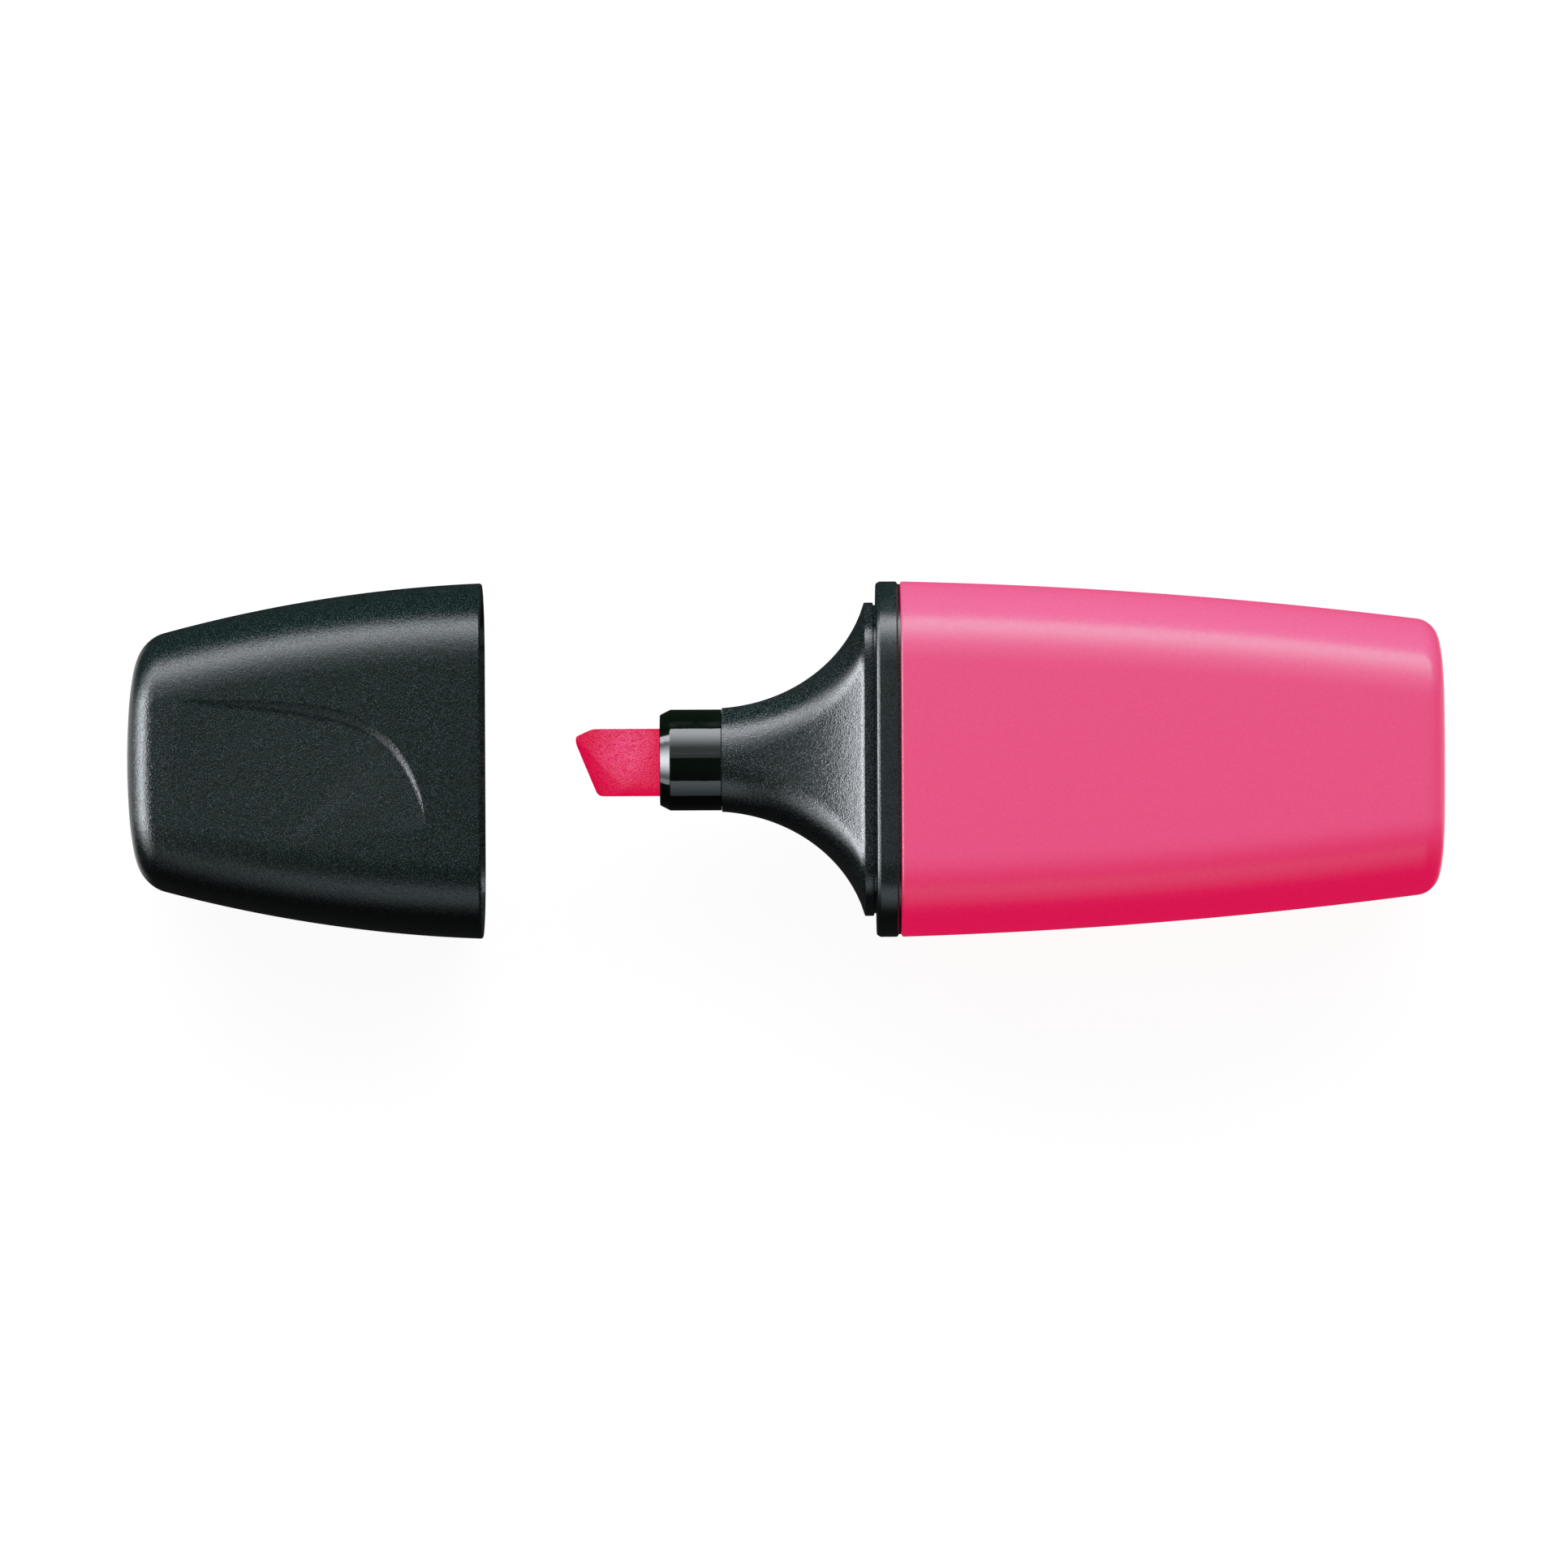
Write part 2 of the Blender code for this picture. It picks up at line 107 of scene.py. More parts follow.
# %% Make the camera
SENSOR_WIDTH = 36.0
FRAME_WIDTH = 119.05 * MM
CAMERA_DISTANCE = 0.9
CAMERA_AIM = Vector((-0.06, -1.85, 0.0)) * MM
CAMERA_ROLL = math.radians(-0.27)

camera_data = bpy.data.cameras.new("camera")
camera_data.sensor_width = SENSOR_WIDTH
camera_data.lens = SENSOR_WIDTH * CAMERA_DISTANCE / FRAME_WIDTH
camera = bpy.data.objects.new("camera", camera_data)
camera.location = CAMERA_AIM + Vector((0.0, 0.0, AXIS_Z + CAMERA_DISTANCE))
camera.rotation_euler = (0.0, 0.0, CAMERA_ROLL)
bpy.context.scene.collection.objects.link(camera)
bpy.context.scene.camera = camera
print(f"lens {camera_data.lens:.0f} mm at {CAMERA_DISTANCE} m")

# %% [markdown]
# ## Building with nodes
#
# The softboxes, the floor and every finish are node trees. Four small helpers keep their making
# readable: one adds a node and sets its values, one draws the wires, one adds a step of arithmetic, and
# one maps a range of values to another.

# %% Node helpers
NODE_SPACING = 180


def add_node(tree, kind, column=0, row=0, **values):
    """Adds a node. values are its own settings, or its inputs by name with _ for a space."""
    node = tree.nodes.new(kind)
    node.location = (column * NODE_SPACING, row * NODE_SPACING)
    for name, value in values.items():
        if hasattr(node, name):
            setattr(node, name, value)
        else:
            node.inputs[name.replace("_", " ")].default_value = value
    return node


def wire(tree, *pairs):
    """Links each (output, input) pair."""
    for start, end in pairs:
        tree.links.new(start, end)


def add_math(tree, operation, column, row, first, second=None, third=None):
    """A math node whose inputs are sockets or plain numbers. Gives its output."""
    node = add_node(tree, "ShaderNodeMath", column, row, operation=operation)
    for socket, value in zip(node.inputs, (first, second, third)):
        if isinstance(value, bpy.types.NodeSocket):
            tree.links.new(value, socket)
        elif value is not None:
            socket.default_value = value
    return node.outputs[0]


def add_range(tree, column, row, value, first, last, start=0.0, end=1.0, **settings):
    """A node that maps first to start and last to end. Gives its output."""
    node = add_node(
        tree, "ShaderNodeMapRange", column, row,
        From_Min=first, From_Max=last, To_Min=start, To_Max=end, **settings,
    )
    tree.links.new(value, node.inputs["Value"])
    return node.outputs["Result"]


print("helpers: add_node, wire, add_math, add_range")

# %% [markdown]
# ## Light
#
# Gloss tells where the lamps of a photo stand: every rounded edge is a little mirror. The bright band
# along the upper edge of the pen starts where the surface is nearly level and ends where it is steep,
# so it mirrors one large softbox that leans over the pen from above, brightest at its far side. That
# box alone lights the colours. A dim skirt carries it on over the pen, so that the band fades out on the
# broad face. The flare of the nose and the end of the cap also show a bright strip on the left, with a
# card under it and a trace of haze over it, and a dim panel below keeps the lower edge from going black.
# All but the softbox are reflectors: they are hidden from diffuse rays, so that only gloss sees them and
# the shading stays simple. Each lamp is placed by the angle under which the pen sees it.

# %% Softboxes
PEN_MIDDLE = Vector((0.0, 0.0, AXIS_Z))
DAYLIGHT = (0.97, 1.0, 1.06)
COOL_BOUNCE = (0.82, 1.0, 1.06)


def add_softbox(name, bearing, lean, distance, size, brightness, color=DAYLIGHT, reflector=True):
    """An area lamp that faces the pen. bearing turns from +X to +Y, lean is measured from straight up."""
    bearing, lean = math.radians(bearing), math.radians(lean)
    way = Vector((math.cos(bearing) * math.sin(lean), math.sin(bearing) * math.sin(lean), math.cos(lean)))
    lamp = bpy.data.lights.new(name, "AREA")
    lamp.shape = "RECTANGLE"
    lamp.size, lamp.size_y = size
    lamp.energy = brightness * math.pi * lamp.size * lamp.size_y
    lamp.color = color
    softbox = bpy.data.objects.new(name, lamp)
    softbox.location = PEN_MIDDLE + way * distance
    softbox.rotation_euler = way.to_track_quat("Z", "Y").to_euler()
    softbox.visible_camera = False
    softbox.visible_diffuse = not reflector
    bpy.context.scene.collection.objects.link(softbox)
    print(f"{name}: {lamp.energy:.1f} W")
    return lamp


def fade_softbox(lamp, axis, start, end, first=0.0, last=1.0, folded=False):
    """Shades a lamp smoothly across, from start to end, or folded, from the middle out to both edges."""
    lamp.use_nodes = True
    tree = lamp.node_tree
    place = add_node(tree, "ShaderNodeNewGeometry", -6)
    across = add_node(tree, "ShaderNodeSeparateXYZ", -5)
    wire(tree, (place.outputs["Parametric"], across.inputs[0]))
    share = across.outputs[axis]
    if folded:
        from_middle = add_math(tree, "MULTIPLY_ADD", -4, 0, share, 2.0, -1.0)
        share = add_math(tree, "ABSOLUTE", -3, 0, from_middle)
    shade = add_range(tree, -2, 0, share, first, last, start, end, interpolation_type="SMOOTHSTEP")
    wire(tree, (shade, tree.nodes["Emission"].inputs["Strength"]))


# %% Place the lamps
above = add_softbox(
    "softbox_above", bearing=90, lean=45, distance=0.5, size=(1.2, 0.6), brightness=6.6, reflector=False
)
fade_softbox(above, "Y", start=1.0, end=0.09, first=0.15, last=0.8)
left = add_softbox("lamp_left", bearing=180, lean=62, distance=0.5, size=(1.0, 0.22), brightness=15.0)
fade_softbox(left, "X", start=1.0, end=0.1, last=0.6, folded=True)
card = add_softbox("card_left", bearing=180, lean=80, distance=0.5, size=(0.9, 0.24), brightness=5.0)
fade_softbox(card, "X", start=1.0, end=0.3, folded=True)
add_softbox("haze_left", bearing=180, lean=30, distance=0.6, size=(0.6, 0.3), brightness=0.15)
add_softbox("softbox_skirt", bearing=90, lean=10, distance=0.5, size=(1.2, 0.085), brightness=0.5)
below = add_softbox(
    "panel_below", bearing=-90, lean=69, distance=0.6, size=(0.5, 0.44), brightness=1.45, color=COOL_BOUNCE
)
fade_softbox(below, "Y", start=0.3, end=1.0)

# %% [markdown]
# ## Floor and background
#
# The background of the photo is plain white. Lighting a floor until it is white would wash out the
# pen, so the floor shows a white glow to the camera instead, with just enough real light in it to
# keep a faint shadow. Gloss sees that glow on a strip beyond both ends of the pen, while dark flags
# beside the pen keep its long edges dark, as they are in the photo. The world behind is white to the
# camera and a weak fill for everything else.

# %% World
WORLD_FILL = 0.04
WHITE = (1.0, 1.0, 1.0, 1.0)


def make_world():
    world = bpy.data.worlds.new("studio")
    world.use_nodes = True
    tree = world.node_tree
    fill = tree.nodes["Background"]
    fill.inputs["Color"].default_value = (*DAYLIGHT, 1.0)
    fill.inputs["Strength"].default_value = WORLD_FILL
    path = add_node(tree, "ShaderNodeLightPath", -3)
    camera_ray, clear_ray = path.outputs["Is Camera Ray"], path.outputs["Is Transmission Ray"]
    seen = add_math(tree, "MAXIMUM", -2, 0, camera_ray, clear_ray)
    white = add_node(tree, "ShaderNodeBackground", -1, -1, Color=WHITE, Strength=1.0)
    mix = add_node(tree, "ShaderNodeMixShader", 1)
    wire(
        tree,
        (seen, mix.inputs["Fac"]),
        (fill.outputs[0], mix.inputs[1]),
        (white.outputs[0], mix.inputs[2]),
        (mix.outputs[0], tree.nodes["World Output"].inputs["Surface"]),
    )
    return world


bpy.context.scene.world = make_world()
bpy.context.scene.view_settings.view_transform = "Standard"
print("world fill", WORLD_FILL)

# %% Floor material
FLOOR_GLOW = 0.95
FLOOR_SHADOW_SHARE = 0.12
FLOOR_BOUNCE = 0.15
FLOOR_GRAIN_SWING = 0.02
FLOOR_GRAIN_SCALE = 900.0
GLOSS_BESIDE = 0.02
GLOSS_BEYOND = 1.0
FLAG_END = 49.7 * MM
FLAG_SOFTNESS = 1.5 * MM
STRIP_HALF_WIDTH = 8.0 * MM
STRIP_SOFTNESS = 4.0 * MM


def make_floor_material():
    material = bpy.data.materials.new("pale_table")
    material.use_nodes = True
    tree = material.node_tree
    tree.nodes.remove(tree.nodes["Principled BSDF"])
    path = add_node(tree, "ShaderNodeLightPath", -4)
    place = add_node(tree, "ShaderNodeTexCoord", -6, -2)
    along = add_node(tree, "ShaderNodeSeparateXYZ", -5, -3)
    grain = add_node(tree, "ShaderNodeTexNoise", -4, -2, Scale=FLOOR_GRAIN_SCALE, Detail=3.0)
    dull, bright = FLOOR_BOUNCE - FLOOR_GRAIN_SWING, FLOOR_BOUNCE + FLOOR_GRAIN_SWING
    pale = add_range(tree, -3, -2, grain.outputs["Fac"], 0.0, 1.0, dull, bright)
    away = add_math(tree, "ABSOLUTE", -4, -3, along.outputs["X"])
    aside = add_math(tree, "ABSOLUTE", -4, -4, along.outputs["Y"])
    ends = add_range(tree, -3, -3, away, FLAG_END, FLAG_END + FLAG_SOFTNESS)
    strip = add_range(tree, -3, -4, aside, STRIP_HALF_WIDTH + STRIP_SOFTNESS, STRIP_HALF_WIDTH)
    beyond = add_math(tree, "MULTIPLY", -2, -3, ends, strip)
    flags = add_range(tree, -1, -3, beyond, 0.0, 1.0, GLOSS_BESIDE, GLOSS_BEYOND)
    bounce = add_node(tree, "ShaderNodeBsdfDiffuse", -1, -1)
    shadow = add_node(tree, "ShaderNodeBsdfDiffuse", -1, 1, Color=(*[FLOOR_SHADOW_SHARE] * 3, 1.0))
    glow = add_node(tree, "ShaderNodeEmission", -1, 2, Strength=FLOOR_GLOW)
    white = add_node(tree, "ShaderNodeAddShader", 0, 1)
    gloss = add_node(tree, "ShaderNodeEmission", 0, -2)
    for_camera = add_node(tree, "ShaderNodeMixShader", 1)
    for_gloss = add_node(tree, "ShaderNodeMixShader", 2)
    camera_ray, clear_ray = path.outputs["Is Camera Ray"], path.outputs["Is Transmission Ray"]
    seen = add_math(tree, "MAXIMUM", -3, 0, camera_ray, clear_ray)
    wire(
        tree,
        (place.outputs["Object"], along.inputs[0]),
        (place.outputs["Object"], grain.inputs["Vector"]),
        (flags, gloss.inputs["Strength"]),
        (pale, bounce.inputs["Color"]),
        (glow.outputs[0], white.inputs[0]),
        (shadow.outputs[0], white.inputs[1]),
        (seen, for_camera.inputs["Fac"]),
        (bounce.outputs[0], for_camera.inputs[1]),
        (white.outputs[0], for_camera.inputs[2]),
        (path.outputs["Is Glossy Ray"], for_gloss.inputs["Fac"]),
        (for_camera.outputs[0], for_gloss.inputs[1]),
        (gloss.outputs[0], for_gloss.inputs[2]),
        (for_gloss.outputs[0], tree.nodes["Material Output"].inputs["Surface"]),
    )
    return material


# %% Make the floor
FLOOR_SIZE = 4.0


def make_floor():
    mesh = bpy.data.meshes.new("floor")
    shape = bmesh.new()
    bmesh.ops.create_grid(shape, x_segments=1, y_segments=1, size=FLOOR_SIZE / 2)
    shape.to_mesh(mesh)
    shape.free()
    mesh.materials.append(make_floor_material())
    floor = bpy.data.objects.new("floor", mesh)
    bpy.context.scene.collection.objects.link(floor)
    floor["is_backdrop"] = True
    print(f"floor {FLOOR_SIZE:.0f} m wide")


make_floor()

# %% [markdown]
# ## Effects that the finishes share
#
# Moulded plastic takes the skin of its mould. The black parts came from a spark-eroded mould, which
# leaves a fine leathery grain, and the barrel from a smoother one. One node group makes that grain for
# all of them. It folds a noise at its middle value, which turns soft blobs into worm-like ridges, and
# adds a broader noise, so that the ridges don't repeat evenly. The same height also shifts the gloss.
# A third noise, finer than the ridges, marks specks that the plastics paint paler, as painted glints of
# the grain.

# %% Grain group
MM_PER_METRE = 1000.0
GRAIN_FOLD = 4.0
BROAD_SCALE = 0.45
BROAD_HEIGHT = 1.6
MEAN_HEIGHT = 1.3
GLINT_SPECK_SCALE = 1.7
GLINT_SPECK_FROM = 0.5
GLINT_SPECK_TO = 0.8


def new_group(name, inputs, outputs):
    """A shader node group with float inputs (name: default) and float outputs."""
    group = bpy.data.node_groups.new(name, "ShaderNodeTree")
    for label, value in inputs.items():
        socket = group.interface.new_socket(label, in_out="INPUT", socket_type="NodeSocketFloat")
        socket.default_value = value
    for label in outputs:
        group.interface.new_socket(label, in_out="OUTPUT", socket_type="NodeSocketFloat")
    return group, add_node(group, "NodeGroupInput", -7), add_node(group, "NodeGroupOutput", 4)


def make_grain_group():
    inputs = {"Grain Size mm": 0.2, "Roughness": 0.4, "Roughness Swing": 0.1}
    group, start, end = new_group("moulded_grain", inputs, ("Height", "Roughness", "Painted Glint"))
    place = add_node(group, "ShaderNodeTexCoord", -7, -2)
    fine = add_node(group, "ShaderNodeTexNoise", -4, 1, Detail=1.0, Distortion=0.4)
    broad = add_node(group, "ShaderNodeTexNoise", -4, -1, Detail=2.0)
    per_metre = add_math(group, "DIVIDE", -6, 0, MM_PER_METRE, start.outputs["Grain Size mm"])
    broad_scale = add_math(group, "MULTIPLY", -5, -1, per_metre, BROAD_SCALE)
    centred = add_math(group, "MULTIPLY_ADD", -3, 1, fine.outputs["Fac"], GRAIN_FOLD, -GRAIN_FOLD / 2)
    folded = add_math(group, "ABSOLUTE", -2, 1, centred)
    ridges = add_math(group, "SUBTRACT", -1, 1, 1.0, folded)
    height = add_math(group, "MULTIPLY_ADD", 0, 0, broad.outputs["Fac"], BROAD_HEIGHT, ridges)
    swing = add_math(group, "SUBTRACT", 1, -1, height, MEAN_HEIGHT)
    share, mean = start.outputs["Roughness Swing"], start.outputs["Roughness"]
    roughness = add_math(group, "MULTIPLY_ADD", 2, -1, swing, share, mean)
    # specks that are painted paler in the base colour, as painted glints
    dots = add_node(group, "ShaderNodeTexNoise", -4, 3, Detail=0.0)
    dot_scale = add_math(group, "MULTIPLY", -5, 3, per_metre, GLINT_SPECK_SCALE)
    painted_glint_mask = add_range(group, 2, 2, dots.outputs["Fac"], GLINT_SPECK_FROM, GLINT_SPECK_TO)
    wire(
        group,
        (per_metre, fine.inputs["Scale"]),
        (broad_scale, broad.inputs["Scale"]),
        (dot_scale, dots.inputs["Scale"]),
        (height, end.inputs["Height"]),
        (roughness, end.inputs["Roughness"]),
        (painted_glint_mask, end.inputs["Painted Glint"]),
    )
    for texture in (fine, broad, dots):
        wire(group, (place.outputs["Object"], texture.inputs["Vector"]))
    return group


grain_group = make_grain_group()
print("group", grain_group.name)

# %% [markdown]
# Edges that rub in a pocket or a pencil case turn paler, and a few specks of dust lie on any dark
# plastic. Wear reads the sharpness of the mesh at a point, broken up by noise. Dust keeps a few cells
# of a Voronoi pattern and draws a dot in each of them.

# %% Wear and dust groups
WORN_FROM = 0.52
WORN_TO = 0.62
PATCH_SCALE = 900.0
PATCH_FROM = 0.42
PATCH_TO = 0.62
DUST_RIM = 0.09
DUST_CORE = 0.03


def make_wear_group():
    group, start, end = new_group("edge_wear", {"Amount": 0.3}, ("Mask",))
    place = add_node(group, "ShaderNodeTexCoord", -7, -2)
    shape = add_node(group, "ShaderNodeNewGeometry", -5, 1)
    edge = add_range(group, -3, 1, shape.outputs["Pointiness"], WORN_FROM, WORN_TO)
    patches = add_node(group, "ShaderNodeTexNoise", -4, -1, Scale=PATCH_SCALE, Detail=4.0)
    broken = add_range(group, -3, -1, patches.outputs["Fac"], PATCH_FROM, PATCH_TO)
    worn = add_math(group, "MULTIPLY", -1, 0, edge, broken)
    mask = add_math(group, "MULTIPLY", 1, 0, worn, start.outputs["Amount"])
    wire(group, (place.outputs["Object"], patches.inputs["Vector"]), (mask, end.inputs["Mask"]))
    return group


def make_dust_group():
    group, start, end = new_group("dust_specks", {"Spacing mm": 1.0, "Share": 0.1}, ("Mask",))
    place = add_node(group, "ShaderNodeTexCoord", -7, -2)
    cells = add_node(group, "ShaderNodeTexVoronoi", -4)
    per_metre = add_math(group, "DIVIDE", -6, 0, MM_PER_METRE, start.outputs["Spacing mm"])
    dot = add_range(group, -2, 1, cells.outputs["Distance"], DUST_RIM, DUST_CORE)
    pick = add_node(group, "ShaderNodeSeparateColor", -3, -1)
    kept = add_math(group, "LESS_THAN", -1, -1, pick.outputs[0], start.outputs["Share"])
    mask = add_math(group, "MULTIPLY", 1, 0, dot, kept)
    wire(
        group,
        (place.outputs["Object"], cells.inputs["Vector"]),
        (per_metre, cells.inputs["Scale"]),
        (cells.outputs["Color"], pick.inputs[0]),
        (mask, end.inputs["Mask"]),
    )
    return group


wear_group = make_wear_group()
dust_group = make_dust_group()
print("groups", wear_group.name, dust_group.name)

# %% [markdown]
# ## Moulded plastic
#
# All the plastics of the pen share one build: a base colour with paler specks, painted glints of the
# grain, paler worn edges and dust, a roughness that follows the grain, and a bump of a hundredth of a
# millimetre or less.
# Hard black plastic reflects a little more than most, so its IOR is 1.58. The cap is of a softer kind,
# which reflects less.

# %% Plastic material
PLASTIC_IOR = 1.58
CAP_IOR = 1.5
DUST_SPACING = 1.4
DUST_SHARE = 0.03


def use_group(tree, group, column, row, **values):
    """Places a node group and sets its inputs."""
    return add_node(tree, "ShaderNodeGroup", column, row, node_tree=group, **values)


def mix_color(tree, column, row, factor, first, second):
    """A colour mix. first and second are sockets or RGB values. Gives its output."""
    node = add_node(tree, "ShaderNodeMix", column, row, data_type="RGBA")
    tree.links.new(factor, node.inputs["Factor"])
    sockets = [socket for socket in node.inputs if socket.type == "RGBA"]
    for socket, value in zip(sockets, (first, second)):
        if isinstance(value, bpy.types.NodeSocket):
            tree.links.new(value, socket)
        else:
            socket.default_value = (*value, 1.0)
    return next(socket for socket in node.outputs if socket.type == "RGBA")


def make_plastic(name, color, glint_color, worn, grain_mm, depth_mm, roughness, swing, wear=0.3):
    """A moulded plastic. Gives the material and its shader, for settings of its own."""
    material = bpy.data.materials.new(name)
    material.use_nodes = True
    tree = material.node_tree
    shader = tree.nodes["Principled BSDF"]
    grain = use_group(
        tree, grain_group, -6, 0, Grain_Size_mm=grain_mm, Roughness=roughness, Roughness_Swing=swing
    )
    edges = use_group(tree, wear_group, -6, 2, Amount=wear)
    specks = use_group(tree, dust_group, -6, 3, Spacing_mm=DUST_SPACING, Share=DUST_SHARE)
    # paler specks painted into the base colour as glints of the grain
    glinted_color = mix_color(tree, -4, 1, grain.outputs["Painted Glint"], color, glint_color)
    rubbed = mix_color(tree, -3, 1, edges.outputs["Mask"], glinted_color, worn)
    dusty = mix_color(tree, -2, 1, specks.outputs["Mask"], rubbed, worn)
    bump = add_node(tree, "ShaderNodeBump", -2, -1, Strength=1.0, Distance=depth_mm * MM)
    shader.inputs["IOR"].default_value = PLASTIC_IOR
    wire(
        tree,
        (dusty, shader.inputs["Base Color"]),
        (grain.outputs["Roughness"], shader.inputs["Roughness"]),
        (grain.outputs["Height"], bump.inputs["Height"]),
        (bump.outputs["Normal"], shader.inputs["Normal"]),
    )
    print("finish", name)
    return material, shader


# %% Black plastics
BLACK = (0.001, 0.006, 0.004)
# paler specks painted as glints of the grain; paler still on the nose, which lifts its flanks as painted
# light
BLACK_GLINT = (0.036, 0.06, 0.064)
NOSE_GLINT = (0.085, 0.11, 0.118)
BLACK_WORN = (0.08, 0.085, 0.085)
JET = (0.001, 0.004, 0.0015)

black_cap, shader = make_plastic(
    "black_grained_cap", BLACK, BLACK_GLINT, BLACK_WORN,
    grain_mm=0.15, depth_mm=0.01, roughness=0.22, swing=0.05,
)
shader.inputs["IOR"].default_value = CAP_IOR
black_nose, _ = make_plastic(
    "black_grained_nose", BLACK, NOSE_GLINT, BLACK_WORN,
    grain_mm=0.14, depth_mm=0.008, roughness=0.19, swing=0.05,
)
black_collar, _ = make_plastic(
    "black_satin_collar", BLACK, BLACK_GLINT, BLACK_WORN,
    grain_mm=0.1, depth_mm=0.004, roughness=0.25, swing=0.05,
)
black_tube, _ = make_plastic(
    "black_polished_tube", JET, JET, BLACK_WORN,
    grain_mm=0.6, depth_mm=0.0006, roughness=0.06, swing=0.02, wear=0.1,
)
black_seal, _ = make_plastic(
    "black_soft_seal", BLACK, BLACK_GLINT, BLACK_WORN,
    grain_mm=0.3, depth_mm=0.006, roughness=0.55, swing=0.1,
)

# %% [markdown]
# The barrel is a neon dye in clear plastic. Fluorescent dye turns some of the light it swallows into
# red and sends it out again all round, so the shaded edge of the barrel stays vivid. A constant red
# emission stands in for that, a painted glow that is the same under any lamp and keeps the shaded edge
# lit, under a dim pink base that takes the shading. The gloss of the satin skin is tinted a little,
# because white gloss over so much red would clip.

# %% Neon plastic
NEON = (0.13, 0.096, 0.168)
# paler specks painted as glints of the grain
NEON_GLINT = (0.14, 0.104, 0.178)
NEON_WORN = (0.55, 0.2, 0.3)
# painted glow: a constant red emission that keeps the shaded edge vivid
NEON_PAINTED_GLOW = (1.0, 0.0, 0.1, 1.0)
NEON_PAINTED_GLOW_STRENGTH = 0.68
NEON_GLOSS_TINT = (0.1, 0.83, 0.64, 1.0)
NEON_IOR = 1.5

neon_pink, shader = make_plastic(
    "neon_pink_barrel", NEON, NEON_GLINT, NEON_WORN,
    grain_mm=0.15, depth_mm=0.003, roughness=0.28, swing=0.15,
)
shader.inputs["IOR"].default_value = NEON_IOR
shader.inputs["Specular Tint"].default_value = NEON_GLOSS_TINT
# the barrel's painted glow
shader.inputs["Emission Color"].default_value = NEON_PAINTED_GLOW
shader.inputs["Emission Strength"].default_value = NEON_PAINTED_GLOW_STRENGTH

# %% [markdown]
# ## Felt and fibre
#
# The nib is pressed fibre, soaked with ink. Close up it is a crowd of tiny wet grains: deep red in the
# pits, which is painted shade, and pale pink on the crests, a painted highlight where a grain catches the
# light. The colour also deepens with the distance from a pale spot on the side, which paints shade towards
# the tip and along the lower edge. The ink core behind the nib is a bundle of coarser fibres. Both use the
# grain group with a deep bump, and a colour that follows the height. Only the nib has a painted glow, a
# red emission like the barrel's.

# %% Felt material
WET_FIBRE_IOR = 1.36
# colour of the nib's painted glow
FELT_PAINTED_GLOW = (1.0, 0.0, 0.08, 1.0)
# a pale spot as painted highlight; painted shade grows with the distance from it
FELT_PAINTED_HIGHLIGHT_POINT = (NIB_TIP + 4.1 * MM, 0.4 * MM, AXIS_Z)
FELT_SHADE_FROM = 1.65 * MM
FELT_SHADE_TO = 3.3 * MM
FELT_DEEPEST_SHADE = 0.9
SOAK_SCALE = 700.0
SOAK_SWING = 0.6
SOAK_SHIFT = -0.2
PIT_LEVEL = 0.95
CREST_LEVEL = 1.65
FIBRE_SWING = 0.15


def make_felt(name, pit, crest, grain_mm, depth_mm, roughness, glow=0.0):
    """A wet fibre, with painted shade in its pits and a painted highlight on its crests."""
    material = bpy.data.materials.new(name)
    material.use_nodes = True
    tree = material.node_tree
    shader = tree.nodes["Principled BSDF"]
    grain = use_group(
        tree, grain_group, -6, 0, Grain_Size_mm=grain_mm, Roughness=roughness, Roughness_Swing=FIBRE_SWING
    )
    place = add_node(tree, "ShaderNodeTexCoord", -7, 2)
    soak = add_node(tree, "ShaderNodeTexNoise", -6, 2, Scale=SOAK_SCALE, Detail=3.0)
    level = add_range(tree, -5, 1, grain.outputs["Height"], PIT_LEVEL, CREST_LEVEL)
    bump = add_node(tree, "ShaderNodeBump", -2, -1, Strength=1.0, Distance=depth_mm * MM)
    away = add_node(tree, "ShaderNodeVectorMath", -6, 3, operation="DISTANCE")
    away.inputs[1].default_value = FELT_PAINTED_HIGHLIGHT_POINT
    distance = away.outputs["Value"]
    # painted shade: the felt deepens with the distance from the painted highlight spot
    painted_shade = add_range(tree, -5, 3, distance, FELT_SHADE_FROM, FELT_SHADE_TO, 0.0, FELT_DEEPEST_SHADE)
    uneven = add_math(tree, "MULTIPLY_ADD", -5, 2, soak.outputs["Fac"], SOAK_SWING, SOAK_SHIFT)
    painted_shade_and_tone = add_math(tree, "ADD", -4, 3, painted_shade, uneven)
    # pits painted dark as shade, crests painted pale as highlight
    wet = mix_color(tree, -4, 1, level, pit, crest)
    # the painted shade, with a random tone, pulls the felt towards its pit colour
    soaked = mix_color(tree, -3, 1, painted_shade_and_tone, wet, pit)
    shader.inputs["IOR"].default_value = WET_FIBRE_IOR
    shader.inputs["Emission Color"].default_value = FELT_PAINTED_GLOW
    # glow is the strength of a painted red glow
    shader.inputs["Emission Strength"].default_value = glow
    wire(
        tree,
        (place.outputs["Object"], soak.inputs["Vector"]),
        (place.outputs["Object"], away.inputs[0]),
        (soaked, shader.inputs["Base Color"]),
        (grain.outputs["Roughness"], shader.inputs["Roughness"]),
        (grain.outputs["Height"], bump.inputs["Height"]),
        (bump.outputs["Normal"], shader.inputs["Normal"]),
    )
    print("finish", name)
    return material


# %% Felt and fibre
# pit colours are painted shade, crest colours painted highlight
FELT_PIT_SHADE = (0.02, 0.0003, 0.004)
FELT_CREST_HIGHLIGHT = (0.175, 0.07, 0.155)
FIBRE_PIT_SHADE = (0.55, 0.02, 0.08)
FIBRE_CREST_HIGHLIGHT = (0.72, 0.12, 0.26)

